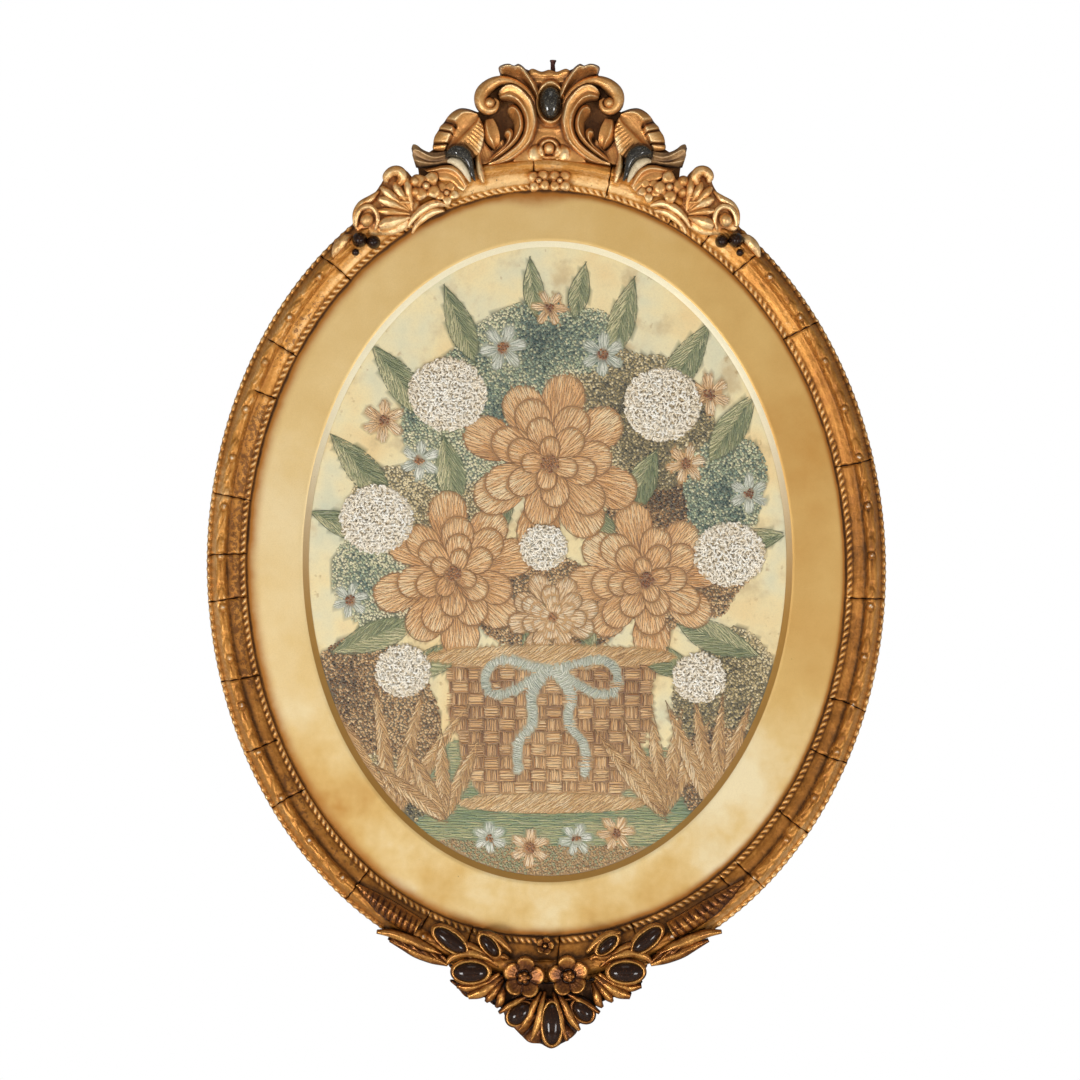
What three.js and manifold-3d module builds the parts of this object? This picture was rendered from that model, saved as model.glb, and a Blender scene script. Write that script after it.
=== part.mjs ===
// An oval silkwork picture in its carved and gilded frame, hung upright on a wall.
// X runs across the picture, Z runs up, and the front faces -Y. The origin is the middle of
// the oval on the back plane, which lies against the wall. All sizes are in millimetres.
// A height is the distance of a surface from the wall, so a point of height h has y = -h.

import * as THREE from "three";
import { mergeVertices } from "three/addons/utils/BufferGeometryUtils.js";
import Module from "manifold-3d";

const wasm = await Module();
wasm.setup();

const { cos, sin, abs, exp, hypot, atan2, PI } = Math;
const radians = THREE.MathUtils.degToRad;

// Oval of the frame. An inset is measured inwards from its outer edge.
const OVAL_WIDTH = 408.4;
const OVAL_HEIGHT = 500;
const OVAL_LEAN = radians(1.1);
const RAIL_STEPS = 120;

// The rail is a little deeper towards the picture at its foot, behind the lower ornament.
const FOOT_GROWTH = 0.17;
const FOOT_ANGLE = radians(-85);
const FOOT_SPREAD = radians(27);

// Layers that fill the rebate, from the wall forwards.
const GAP = 0.3;
const REBATE_INSET = 19;
const BOARD_THICKNESS = 3;
const SILK_THICKNESS = 1;
const MAT_THICKNESS = 3;
const LAYER_INSET = REBATE_INSET + 0.5;
const LAYER_STEPS = 72;
const SILK_BACK = BOARD_THICKNESS + GAP;
const MAT_BACK = SILK_BACK + SILK_THICKNESS + GAP;
const MAT_FRONT = MAT_BACK + MAT_THICKNESS;

// Opening of the mat, which sits a little above and to the right of the oval's middle.
const OPENING_WIDTH = 287.4;
const OPENING_HEIGHT = 378.4;
const OPENING_X = 0.7;
const OPENING_Z = 3.2;
const BEVEL_WIDTH = 3.6;

// Ornament: the plates that carry it lie against the wall, and the carving stands on them.
const PLATE_THICKNESS = 10;
const SEAT = PLATE_THICKNESS + GAP;
const CREST_X = 1.7;
const RELIEF_SPOKES = 16;
const STRIP_STEPS = 10;
const SIDES = [
  { name: "left", turn: -1 },
  { name: "right", turn: 1 },
];

const GILT = { color: 0xb07d3c, roughness: 0.45, metalness: 0.6 };
const DARK_GILT = { color: 0x5b3a1c, roughness: 0.5, metalness: 0.5 };
const BLACK_GLOSS = { color: 0x2b2824, roughness: 0.15, metalness: 0 };
const MAT_GOLD = { color: 0xd0a55c, roughness: 0.4, metalness: 0.5 };
const SILK = { color: 0xd9c8a0, roughness: 0.8, metalness: 0 };
const BARE_WOOD = { color: 0x8a6a48, roughness: 0.85, metalness: 0 };
const IRON = { color: 0x5a3a2e, roughness: 0.8, metalness: 0.7 };

// Section of the rail from the back outer corner, over the front, to the rebate.
const RAIL_SECTION = [
  { inset: 0, height: 0 },
  { inset: 0, height: 9.6 },
  { inset: 0.6, height: 10.8 },
  { inset: 2.1, height: 10.5 },
  { inset: 4.8, height: 15.4 },
  { inset: 6, height: 18.6 },
  { inset: 8.4, height: 20 },
  { inset: 11, height: 19 },
  { inset: 12.6, height: 15 },
  { inset: 17, height: 13.2 },
  { inset: 20.6, height: 10.8 },
  { inset: 23.2, height: 10.8 },
  { inset: 24, height: 9.8 },
  { inset: 24, height: 8 },
  { inset: REBATE_INSET, height: 8 },
  { inset: REBATE_INSET, height: 0 },
];

// The same section with room all round, and fewer steps, to cut the carving where it sits on
// the rail.
const SEAT_SECTION = [
  { inset: -0.35, height: -2 },
  { inset: -0.35, height: 11.2 },
  { inset: 2.3, height: 11.2 },
  { inset: 5.6, height: 18.9 },
  { inset: 8.3, height: 20.4 },
  { inset: 11.5, height: 19.3 },
  { inset: 12.9, height: 15.4 },
  { inset: 17.2, height: 13.6 },
  { inset: 20.8, height: 11.2 },
  { inset: 24.35, height: 11.2 },
  { inset: 24.35, height: -2 },
];

const picture = new THREE.Group();

// Moves every corner of a geometry by a rule that writes the new place into the vector.
function remap(geometry, rule) {
  const places = geometry.getAttribute("position");
  const v = new THREE.Vector3();
  for (let i = 0; i < places.count; i += 1) {
    v.fromBufferAttribute(places, i);
    rule(v);
    places.setXYZ(i, v.x, v.y, v.z);
  }
  return geometry;
}

// One closed body: equal corners merged, empty faces dropped, and all faces turned outwards.
function closedBody(geometry) {
  geometry.deleteAttribute("normal");
  geometry.deleteAttribute("uv");
  const body = mergeVertices(geometry, 1e-4);
  const places = body.getAttribute("position");
  const [a, b, c] = [0, 1, 2].map(() => new THREE.Vector3());
  const faces = [];
  let volume = 0;
  for (let i = 0; i < body.index.count; i += 3) {
    const corners = [0, 1, 2].map((k) => body.index.getX(i + k));
    if (new Set(corners).size < 3) continue;
    a.fromBufferAttribute(places, corners[0]);
    b.fromBufferAttribute(places, corners[1]);
    c.fromBufferAttribute(places, corners[2]);
    volume += a.dot(b.cross(c));
    faces.push(corners);
  }
  const outward = volume > 0 ? faces : faces.map(([p, q, r]) => [p, r, q]);
  body.setIndex(outward.flat());
  return body;
}

function toSolid(geometry) {
  return new wasm.Manifold(
    new wasm.Mesh({
      numProp: 3,
      vertProperties: new Float32Array(geometry.getAttribute("position").array),
      triVerts: new Uint32Array(geometry.index.array),
    }),
  );
}

// The largest body that is left of a geometry after a solid has been cut away.
function cutAway(geometry, cutter) {
  const bodies = toSolid(geometry).subtract(cutter).decompose();
  bodies.sort((a, b) => b.volume() - a.volume());
  const mesh = bodies[0].getMesh();
  const cut = new THREE.BufferGeometry();
  cut.setAttribute("position", new THREE.BufferAttribute(mesh.vertProperties, 3));
  cut.setIndex(new THREE.BufferAttribute(mesh.triVerts, 1));
  return cut;
}

function addPart(name, geometry, finish) {
  const mesh = new THREE.Mesh(geometry, new THREE.MeshStandardMaterial(finish));
  mesh.name = name;
  picture.add(mesh);
}

// A point of the frame's oval, at an angle from +X towards +Z and an inset from the outer edge.
function ovalPoint(angle, inset) {
  const fromFoot = atan2(sin(angle - FOOT_ANGLE), cos(angle - FOOT_ANGLE));
  const growth = 1 + FOOT_GROWTH * exp(-((fromFoot / FOOT_SPREAD) ** 2));
  const across = OVAL_WIDTH / 2;
  const up = OVAL_HEIGHT / 2;
  const point = new THREE.Vector2(across * cos(angle), up * sin(angle));
  const outwards = new THREE.Vector2(cos(angle) / across, sin(angle) / up).normalize();
  point.addScaledVector(outwards, -inset * growth);
  return point.rotateAround(new THREE.Vector2(), OVAL_LEAN);
}

function openingPoint(angle, beyond) {
  return new THREE.Vector2(
    OPENING_X + (OPENING_WIDTH / 2 + beyond) * cos(angle),
    OPENING_Z + (OPENING_HEIGHT / 2 + beyond) * sin(angle),
  );
}

// A lathed ring whose closed section is bent from a circle onto the frame's oval.
function ovalRing(section, steps) {
  const circle = OVAL_WIDTH / 2;
  const profile = [...section, section[0]].map(
    ({ inset, height }) => new THREE.Vector2(circle - inset, height),
  );
  const ring = remap(new THREE.LatheGeometry(profile, steps), (v) => {
    const point = ovalPoint(atan2(v.x, v.z), circle - hypot(v.x, v.z));
    v.set(point.x, -v.y, point.y);
  });
  return closedBody(ring);
}

// A flat oval sheet that fills the rebate.
function ovalSheet(back, thickness) {
  const profile = [
    [0, back],
    [1, back],
    [1, back + thickness],
    [0, back + thickness],
  ].map(([share, height]) => new THREE.Vector2(share, height));
  const sheet = remap(new THREE.LatheGeometry(profile, LAYER_STEPS), (v) => {
    const edge = ovalPoint(atan2(v.x, v.z), LAYER_INSET);
    const share = hypot(v.x, v.z);
    v.set(edge.x * share, -v.y, edge.y * share);
  });
  return closedBody(sheet);
}

// The mat: a board with an oval opening whose edge is cut on the slant.
function matBoard() {
  const profile = [
    [2, MAT_BACK],
    [2, MAT_FRONT],
    [1, MAT_FRONT],
    [1, MAT_BACK],
    [2, MAT_BACK],
  ].map(([ring, height]) => new THREE.Vector2(ring, height));
  const board = remap(new THREE.LatheGeometry(profile, LAYER_STEPS), (v) => {
    const angle = atan2(v.x, v.z);
    const isOuter = hypot(v.x, v.z) > 1.5;
    const isFront = v.y > (MAT_BACK + MAT_FRONT) / 2;
    const edge = isOuter
      ? ovalPoint(angle, LAYER_INSET)
      : openingPoint(angle, isFront ? BEVEL_WIDTH : 0);
    v.set(edge.x, -v.y, edge.y);
  });
  return closedBody(board);
}

// A carved lump with a flat back. Its rim follows a closed outline, and its front swells
// from the rim to the crown; furrow lowers the front by a rule of the share of the way out.
const SWELL_POWER = 2.4;

function relief({ outline, middle, back, rim, crown, furrow = () => 0, spokes }) {
  const edge = new THREE.CatmullRomCurve3(
    outline.map(([x, z]) => new THREE.Vector3(x, z, 0)),
    true,
  );
  const BACK_LEVEL = 0;
  const FRONT_LEVEL = 1;
  const profile = [
    [0, BACK_LEVEL],
    [1, BACK_LEVEL],
    [1, FRONT_LEVEL],
    [0.8, FRONT_LEVEL],
    [0.45, FRONT_LEVEL],
    [0, FRONT_LEVEL],
  ].map(([share, level]) => new THREE.Vector2(share, level));
  const steps = spokes ?? RELIEF_SPOKES;
  const lump = remap(new THREE.LatheGeometry(profile, steps), (v) => {
    const share = hypot(v.x, v.z);
    const turn = (atan2(v.x, v.z) / (2 * PI) + 1) % 1;
    const at = edge.getPoint(turn);
    const swell = (1 - share ** SWELL_POWER) * (crown - rim) - furrow(share);
    const height = v.y < 0.5 ? back : rim + swell;
    v.set(
      middle[0] + (at.x - middle[0]) * share,
      -height,
      middle[1] + (at.y - middle[1]) * share,
    );
  });
  return closedBody(lump);
}

// Points of an ellipse, or of a flower when it has petals, for relief to follow.
function roundOutline({ x, z, halfLength, halfWidth, tilt = 0, petals = 0, notch = 0 }) {
  const count = petals ? petals * 4 : 12;
  return Array.from({ length: count }, (_, i) => {
    const angle = (2 * PI * i) / count;
    const reach = 1 - notch * abs(sin((angle * petals) / 2)) ** 3;
    const point = new THREE.Vector2(
      halfLength * reach * cos(angle),
      halfWidth * reach * sin(angle),
    ).rotateAround(new THREE.Vector2(), radians(tilt));
    return [x + point.x, z + point.y];
  });
}

// A carved band with a flat back, carried along a path. Each row of the path gives a place,
// the band's width and the height of its crest. A shift of 0.5 lays the band beside the path.
function strip({ rows, back, rim, shift = 0, steps = STRIP_STEPS, ripple = () => 1 }) {
  const ACROSS = 4;
  const path = new THREE.CatmullRomCurve3(
    rows.map(({ x, z }) => new THREE.Vector3(x, z, 0)),
  );
  const shape = new THREE.CatmullRomCurve3(
    rows.map(({ width, crest }) => new THREE.Vector3(width, crest, 0)),
  );
  const band = remap(new THREE.BoxGeometry(1, 1, 1, steps, 1, ACROSS), (v) => {
    const along = v.x + 0.5;
    const place = path.getPoint(along);
    const ahead = path.getTangent(along);
    const { x: width, y: crest } = shape.getPoint(along);
    const across = (v.z + shift) * width * ripple(along);
    const roll = 1 - (2 * v.z) ** 2;
    const height = v.y < 0 ? back : rim + (crest - rim) * roll;
    v.set(place.x - ahead.y * across, -height, place.y + ahead.x * across);
  });
  return closedBody(band);
}

// Turns rows given for the right half, measured from the crest's axis, to one of its sides.
function toSide(rows, side) {
  return rows.map((row) => ({ ...row, x: CREST_X + side.turn * row.x }));
}

function outlineToSide(outline, side) {
  return outline.map(([x, z]) => [CREST_X + side.turn * x, z]);
}

function plate(outline) {
  const shape = new THREE.Shape(outline.map(([x, z]) => new THREE.Vector2(x, z)));
  const slab = new THREE.ExtrudeGeometry(shape, {
    depth: PLATE_THICKNESS,
    bevelEnabled: false,
  });
  return closedBody(remap(slab, (v) => v.set(v.x, -v.z, v.y)));
}

// Rail, and the layers in its rebate.
addPart("frame_rail", ovalRing(RAIL_SECTION, RAIL_STEPS), GILT);
addPart("back_board", ovalSheet(0, BOARD_THICKNESS), BARE_WOOD);
addPart("silk_panel", ovalSheet(SILK_BACK, SILK_THICKNESS), SILK);
addPart("gold_mat", matBoard(), MAT_GOLD);

const railSeat = toSolid(ovalRing(SEAT_SECTION, RAIL_STEPS));

// Plate of the crest. Its right half, from the broken top down to the rail.
const CREST_HALF = [
  [6, 297.2],
  [12.5, 298.4],
  [18, 300.6],
  [25, 300.4],
  [28.6, 297.6],
  [30.4, 293.6],
  [37, 288.2],
  [42, 284],
  [43.4, 279.4],
  [41.4, 273.6],
  [47.5, 272.4],
  [54, 273.4],
  [59, 269.2],
  [63, 263.8],
  [67.6, 258.6],
  [68.4, 251.6],
  [74, 247.8],
  [80, 250],
  [80.2, 244],
  [78.6, 238.4],
  [78, 233],
  [78, 226],
];

function crestPlate() {
  const right = CREST_HALF.map(([x, z]) => [CREST_X + x, z]);
  const left = CREST_HALF.map(([x, z]) => [CREST_X - x, z]).reverse();
  return plate([[CREST_X, 296.4], ...right, ...left]);
}
addPart("crest_plate", cutAway(crestPlate(), railSeat), GILT);

// Waisted panel of the crest, with the rim that holds the stone.
const PANEL_FRONT = 15;
const PANEL_SPOKES = 34;
const PANEL_HALF = [
  [5, 289.2],
  [7.6, 285],
  [8.4, 279],
  [7.2, 271.6],
  [5.2, 265.6],
  [5.4, 260],
  [7.6, 254.6],
  [9.6, 250.8],
];

function crestPanel() {
  const right = PANEL_HALF.map(([x, z]) => [CREST_X + x, z]);
  const left = PANEL_HALF.map(([x, z]) => [CREST_X - x, z]).reverse();
  return relief({
    outline: [[CREST_X, 290.6], ...right, ...left],
    middle: [CREST_X, 268],
    back: SEAT,
    rim: PANEL_FRONT - 0.8,
    crown: PANEL_FRONT,
    spokes: PANEL_SPOKES,
  });
}
addPart("crest_panel", cutAway(crestPanel(), railSeat), GILT);

// Stones and beads: low domes on an elliptic foot. Each stands on the panel, on the fan shell
// or on the rail.
const PANEL_SEAT = PANEL_FRONT + GAP;
const FAN_CROWN = 20;
const FAN_SEAT = FAN_CROWN + GAP;
const STONES = [
  {
    name: "crest_stone", x: 2.5, z: 278.4, halfLength: 6.9, halfWidth: 9.8,
    back: PANEL_SEAT, crown: 21.5,
  },
  {
    name: "crest_pearl", x: 1.6, z: 250.8, halfLength: 3.2, halfWidth: 3.2,
    back: PANEL_SEAT, crown: 19,
  },
  {
    name: "stone_foot_middle", x: 3.4, z: -273, halfLength: 5.8, halfWidth: 12.8,
    back: FAN_SEAT, crown: 25,
  },
  {
    name: "stone_foot_left", x: -16, z: -267, halfLength: 8.2, halfWidth: 5.6, tilt: 42,
    back: FAN_SEAT, crown: 23.5,
  },
  {
    name: "stone_foot_right", x: 21.6, z: -265.4, halfLength: 7.4, halfWidth: 5.2,
    tilt: -48, back: FAN_SEAT, crown: 23.5,
  },
  {
    name: "stone_low_left", x: -45.2, z: -242.1, halfLength: 10.4, halfWidth: 6,
    onRail: true, crown: 26,
  },
  {
    name: "stone_low_right", x: 47.6, z: -242.1, halfLength: 10.6, halfWidth: 5.9,
    onRail: true, crown: 26,
  },
  {
    name: "stone_high_left", x: -57.5, z: -223.2, halfLength: 11.6, halfWidth: 4.9,
    tilt: -37, onRail: true, crown: 25,
  },
  {
    name: "stone_high_right", x: 60.1, z: -222.8, halfLength: 10.8, halfWidth: 4.6,
    tilt: 41, onRail: true, crown: 25,
  },
  {
    name: "stone_small_left", x: -34.1, z: -226.4, halfLength: 8, halfWidth: 3.7, tilt: -50,
    onRail: true, crown: 24,
  },
  {
    name: "stone_small_right", x: 36.4, z: -226, halfLength: 7.6, halfWidth: 3.5, tilt: 42,
    onRail: true, crown: 24,
  },
  {
    name: "berry_left_outer", x: -112, z: 195.6, halfLength: 4.7, halfWidth: 4.7,
    onRail: true, crown: 25,
  },
  {
    name: "berry_left_inner", x: -103.6, z: 194.4, halfLength: 3.4, halfWidth: 3.4,
    onRail: true, crown: 24,
  },
  {
    name: "berry_right_outer", x: 113.4, z: 195.6, halfLength: 4.5, halfWidth: 4.5,
    onRail: true, crown: 25,
  },
  {
    name: "berry_right_inner", x: 105, z: 194.4, halfLength: 3.6, halfWidth: 3.6,
    onRail: true, crown: 24,
  },
];
const STONE_WALL = 1.6;
const STONE_RISE = 3.2;
const STONE_SPOKES = 14;

function stone(row) {
  const back = row.onRail ? SEAT : row.back;
  const dome = relief({
    outline: roundOutline(row),
    middle: [row.x, row.z],
    back,
    rim: row.onRail ? row.crown - STONE_RISE : back + STONE_WALL,
    crown: row.crown,
    spokes: STONE_SPOKES,
  });
  return row.onRail ? cutAway(dome, railSeat) : dome;
}
STONES.forEach((row) => {
  const isPearl = row.name === "crest_pearl";
  addPart(row.name, stone(row), isPearl ? GILT : BLACK_GLOSS);
});

// Iron pin of the lost finial, standing in the broken top.
const PIN = { x: 3.9, height: 6, foot: 297, top: 304.8, radius: 1.4, headRadius: 2 };
const PIN_HEAD = 0.8;
const PIN_SPOKES = 10;

function crestPin() {
  const length = PIN.top - PIN.foot;
  const profile = [
    [0, 0],
    [PIN.radius, 0],
    [PIN.radius, length - 2 * PIN_HEAD],
    [PIN.headRadius, length - PIN_HEAD],
    [PIN.headRadius, length],
    [0, length],
  ].map(([radius, z]) => new THREE.Vector2(radius, z));
  const pin = remap(new THREE.LatheGeometry(profile, PIN_SPOKES), (v) =>
    v.set(PIN.x + v.x, -PIN.height + v.z, PIN.foot + v.y),
  );
  return closedBody(pin);
}
addPart("crest_pin", crestPin(), IRON);

// Scrolls, lips, fronds, horns and knobs: bands carried along a path on each side. Places
// are measured from the crest's axis.
const SCROLL = [
  { x: 9.8, z: 276.5, width: 0.8, crest: 13 },
  { x: 11.2, z: 281.5, width: 2, crest: 15 },
  { x: 15.4, z: 288.2, width: 3.4, crest: 18 },
  { x: 22.6, z: 292.2, width: 5.2, crest: 20 },
  { x: 30.6, z: 291.8, width: 5.2, crest: 21 },
  { x: 36.4, z: 289.2, width: 3.2, crest: 20 },
  { x: 41, z: 287.2, width: 1.2, crest: 17 },
];
const LIP = [
  { x: 29.2, z: 297.2, width: 2.6, crest: 22 },
  { x: 24.8, z: 299.8, width: 4.8, crest: 25 },
  { x: 19, z: 299.2, width: 5, crest: 26 },
  { x: 13.6, z: 295.4, width: 4.4, crest: 25 },
  { x: 9.4, z: 290.2, width: 2.2, crest: 20 },
];
const FROND = [
  { x: 34.4, z: 240.8, width: 1.4, crest: 22 },
  { x: 22.1, z: 245, width: 6, crest: 23 },
  { x: 12.6, z: 253.6, width: 13.4, crest: 24 },
  { x: 9, z: 265, width: 14.6, crest: 25 },
  { x: 11.3, z: 277, width: 14, crest: 25 },
  { x: 16.8, z: 284.4, width: 8.4, crest: 23 },
  { x: 23, z: 287.2, width: 6.6, crest: 21 },
  { x: 28.2, z: 286, width: 3, crest: 17 },
];
const HORN = [
  { x: 62.6, z: 243.4, width: 3, crest: 19 },
  { x: 69, z: 243.6, width: 5.6, crest: 20 },
  { x: 75.6, z: 244.2, width: 7, crest: 20 },
  { x: 80, z: 247.6, width: 4.6, crest: 19 },
  { x: 81.4, z: 252.4, width: 1.6, crest: 16 },
];
const KNOB = [
  { x: 59.8, z: 246.8, width: 3, crest: 21 },
  { x: 55.4, z: 246.6, width: 7.4, crest: 25 },
  { x: 50.8, z: 242.8, width: 5.4, crest: 25 },
  { x: 47.2, z: 237, width: 3.2, crest: 24 },
  { x: 45, z: 231.8, width: 1.4, crest: 22.6 },
];
const BANDS = [
  { name: "scroll", rows: SCROLL, rim: 11.4, finish: GILT },
  { name: "lip", rows: LIP, rim: 14, finish: GILT },
  {
    name: "frond", rows: FROND, rim: 12, shift: -0.5, steps: 16, lobed: true, onRail: true,
    finish: GILT,
  },
  { name: "horn", rows: HORN, rim: 13, finish: GILT },
  { name: "knob", rows: KNOB, rim: 21, onRail: true, finish: BLACK_GLOSS },
];

// The frond's inner edge has three leaf tips, with a notch between them.
const FROND_NOTCH = 0.16;
const FROND_WAVES = 3.4;

function frondLobes(along) {
  return 1 - FROND_NOTCH * abs(cos(along * FROND_WAVES * PI)) ** 4;
}

function band(row, side) {
  const strand = strip({
    rows: toSide(row.rows, side),
    back: SEAT,
    rim: row.rim,
    shift: (row.shift ?? 0) * side.turn,
    steps: row.steps,
    ripple: row.lobed ? frondLobes : undefined,
  });
  return row.onRail ? cutAway(strand, railSeat) : strand;
}

// Volutes, wings, leaves and shells: lumps with an outline, measured from the crest's axis.
const WING = [
  [54.2, 274.4],
  [47.6, 273.2],
  [42.8, 269.6],
  [40.6, 264.6],
  [40.4, 257.6],
  [41.6, 250],
  [44, 252.4],
  [51, 252.2],
  [60.6, 251.8],
  [68.8, 251.8],
  [69.4, 255.4],
  [68, 260],
  [63.4, 264.8],
  [60, 270],
];
const INNER_LEAF = [
  [39.2, 266],
  [34, 270],
  [30.6, 265],
  [29.4, 258.4],
  [31.6, 250.6],
  [36, 252],
  [39.2, 258],
];
const SPRAY = [
  [54.6, 238.8],
  [61, 240.4],
  [69, 239.4],
  [77, 237.6],
  [73, 234.8],
  [65, 232.6],
  [57, 230.8],
  [49.4, 229.2],
  [50.6, 233.6],
];
const LUMPS = [
  {
    name: "volute",
    outline: roundOutline({ x: 37.5, z: 279.7, halfLength: 7, halfWidth: 7 }),
    middle: [37.5, 279.7], rim: 14, crown: 24, coiled: true,
  },
  { name: "wing", outline: WING, middle: [54, 261], rim: 13.5, crown: 21 },
  { name: "inner_leaf", outline: INNER_LEAF, middle: [34.6, 260], rim: 12, crown: 16 },
  { name: "spray", outline: SPRAY, middle: [62, 235.6], rim: 21, crown: 23.4, onRail: true },
];

// The round groove between a volute's eye and its rim.
const COIL = { depth: 4.2, share: 0.45, spread: 0.16 };

function coil(share) {
  return COIL.depth * exp(-(((share - COIL.share) / COIL.spread) ** 2));
}

function lump(row, side) {
  const body = relief({
    outline: outlineToSide(row.outline, side),
    middle: [CREST_X + side.turn * row.middle[0], row.middle[1]],
    back: SEAT,
    rim: row.rim,
    crown: row.crown,
    furrow: row.coiled ? coil : undefined,
  });
  return row.onRail ? cutAway(body, railSeat) : body;
}

SIDES.forEach((side) => {
  BANDS.forEach((row) => addPart(`${row.name}_${side.name}`, band(row, side), row.finish));
  LUMPS.forEach((row) => addPart(`${row.name}_${side.name}`, lump(row, side), GILT));
});

// Flowers: on the rail below the crest, beside it, and in the lower ornament.
const FLOWERS = [
  {
    name: "top_flower_left", x: -3.9, z: 232.6, halfLength: 5.2, halfWidth: 6.4, petals: 4,
    notch: 0.16, crown: 19,
  },
  {
    name: "top_flower_right", x: 7.6, z: 232.6, halfLength: 5.2, halfWidth: 6.4, petals: 4,
    notch: 0.16, crown: 19,
  },
  {
    name: "blossom_left_outer", x: -73.6, z: 226.6, halfLength: 6.4, halfWidth: 6.2,
    petals: 5, notch: 0.2, crown: 24.5,
  },
  {
    name: "blossom_left_inner", x: -58.8, z: 223.6, halfLength: 6, halfWidth: 5.6,
    petals: 5, notch: 0.2, crown: 21,
  },
  {
    name: "blossom_right_inner", x: 57.2, z: 223, halfLength: 5.4, halfWidth: 5.4,
    petals: 5, notch: 0.2, crown: 21,
  },
  {
    name: "blossom_right_outer", x: 71, z: 225.6, halfLength: 6.6, halfWidth: 6.4,
    petals: 5, notch: 0.2, crown: 24.5,
  },
  {
    name: "foot_flower_left", x: -12.8, z: -244.6, halfLength: 12.8, halfWidth: 12.4,
    petals: 5, notch: 0.15, crown: 26.5,
  },
  {
    name: "foot_flower_right", x: 13.8, z: -244.6, halfLength: 12.8, halfWidth: 12.4,
    petals: 5, notch: 0.15, crown: 26.5,
  },
  {
    name: "foot_bud", x: -0.8, z: -226.8, halfLength: 5, halfWidth: 4.6, petals: 4,
    notch: 0.08, crown: 19.5,
  },
];
const PETAL_RIM_DROP = 4;
const SPOKES_PER_PETAL = 4;

function flower(row) {
  const body = relief({
    outline: roundOutline(row),
    middle: [row.x, row.z],
    back: SEAT,
    rim: row.crown - PETAL_RIM_DROP,
    crown: row.crown,
    spokes: row.petals * SPOKES_PER_PETAL,
  });
  return cutAway(body, railSeat);
}
FLOWERS.forEach((row) => addPart(row.name, flower(row), GILT));

// Shells at the shoulders, and the plate, shell and leaves of the lower ornament.
const SHELL_LEFT = [
  [-116, 202.6],
  [-114.6, 208],
  [-110.8, 217.4],
  [-105.2, 224.6],
  [-98.4, 232.8],
  [-89.8, 237.4],
  [-84.8, 234.2],
  [-81.8, 228],
  [-82.4, 220],
  [-90, 208.4],
  [-97.6, 201.4],
  [-107, 202.6],
];
const SHELL_RIGHT = [
  [80.4, 230],
  [89.6, 235],
  [94.6, 239.8],
  [98.8, 232.4],
  [105.4, 222.4],
  [113.4, 217],
  [114.6, 207],
  [113, 202.4],
  [104, 201],
  [96.6, 200.4],
  [87, 208.4],
  [81, 219],
];
const FOOT_PLATE = [
  [-66, -230],
  [-57.4, -241],
  [-53.6, -249.6],
  [-47, -256],
  [-38.4, -256],
  [-30.6, -261.4],
  [-23.6, -268.6],
  [-11, -282.6],
  [3, -286.6],
  [16.6, -278.2],
  [26, -267.4],
  [35, -258.2],
  [49.8, -252.2],
  [56.4, -246],
  [62, -237.6],
  [68, -230],
];
const FAN = [
  [-25, -262.4],
  [-24.6, -269.4],
  [-18.2, -277.2],
  [-11, -284.2],
  [-3.8, -285.6],
  [3.1, -288.4],
  [10, -285],
  [17.8, -279.4],
  [19.4, -274],
  [27, -268],
  [29.6, -263],
  [21.6, -258],
  [2.8, -257.6],
  [-16, -258],
];
const LEAF_LOW_LEFT = [
  [-57.6, -247.6],
  [-53.4, -252],
  [-47.6, -257.8],
  [-38.6, -257.2],
  [-31, -262.6],
  [-26.6, -259.6],
  [-27, -251.6],
  [-34, -249.6],
  [-45.2, -249.6],
];
const LEAF_LOW_RIGHT = [
  [57.6, -248.4],
  [50.2, -253.6],
  [35.5, -259.6],
  [30.8, -260.6],
  [29, -253],
  [36, -250],
  [47.6, -249.4],
];
const LEAF_SIDE_LEFT = [
  [-95, -222.8],
  [-83.2, -228.4],
  [-80, -231.4],
  [-70.4, -236.2],
  [-59, -238.4],
  [-61, -233.4],
  [-67, -230.8],
  [-74, -227.6],
  [-85, -222],
];
const LEAF_SIDE_RIGHT = [
  [92.4, -222.2],
  [82.8, -227.6],
  [81.2, -230.8],
  [73.6, -234.4],
  [62.6, -237.2],
  [64, -232.6],
  [70, -229.4],
  [77, -226],
  [85, -221],
];
const SHOULDER_BACK = 2;
const CARVINGS = [
  {
    name: "shell_left", outline: SHELL_LEFT, middle: [-98, 217], back: SHOULDER_BACK,
    rim: 20.8, crown: 23.6,
  },
  {
    name: "shell_right", outline: SHELL_RIGHT, middle: [98, 216], back: SHOULDER_BACK,
    rim: 20.8, crown: 23.6,
  },
  {
    name: "fan_shell", outline: FAN, middle: [3, -268], back: SEAT, rim: FAN_CROWN - 1,
    crown: FAN_CROWN,
  },
  {
    name: "leaf_low_left", outline: LEAF_LOW_LEFT, middle: [-41, -254], back: SEAT, rim: 15,
    crown: 19,
  },
  {
    name: "leaf_low_right", outline: LEAF_LOW_RIGHT, middle: [41, -254], back: SEAT,
    rim: 15, crown: 19,
  },
  {
    name: "leaf_side_left", outline: LEAF_SIDE_LEFT, middle: [-76, -228.6],
    back: SHOULDER_BACK, rim: 19.4, crown: 22.4,
  },
  {
    name: "leaf_side_right", outline: LEAF_SIDE_RIGHT, middle: [77, -228.4],
    back: SHOULDER_BACK, rim: 19.4, crown: 22.4,
  },
];

addPart("foot_plate", cutAway(plate(FOOT_PLATE), railSeat), DARK_GILT);
CARVINGS.forEach((row) => addPart(row.name, cutAway(relief(row), railSeat), DARK_GILT));

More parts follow.
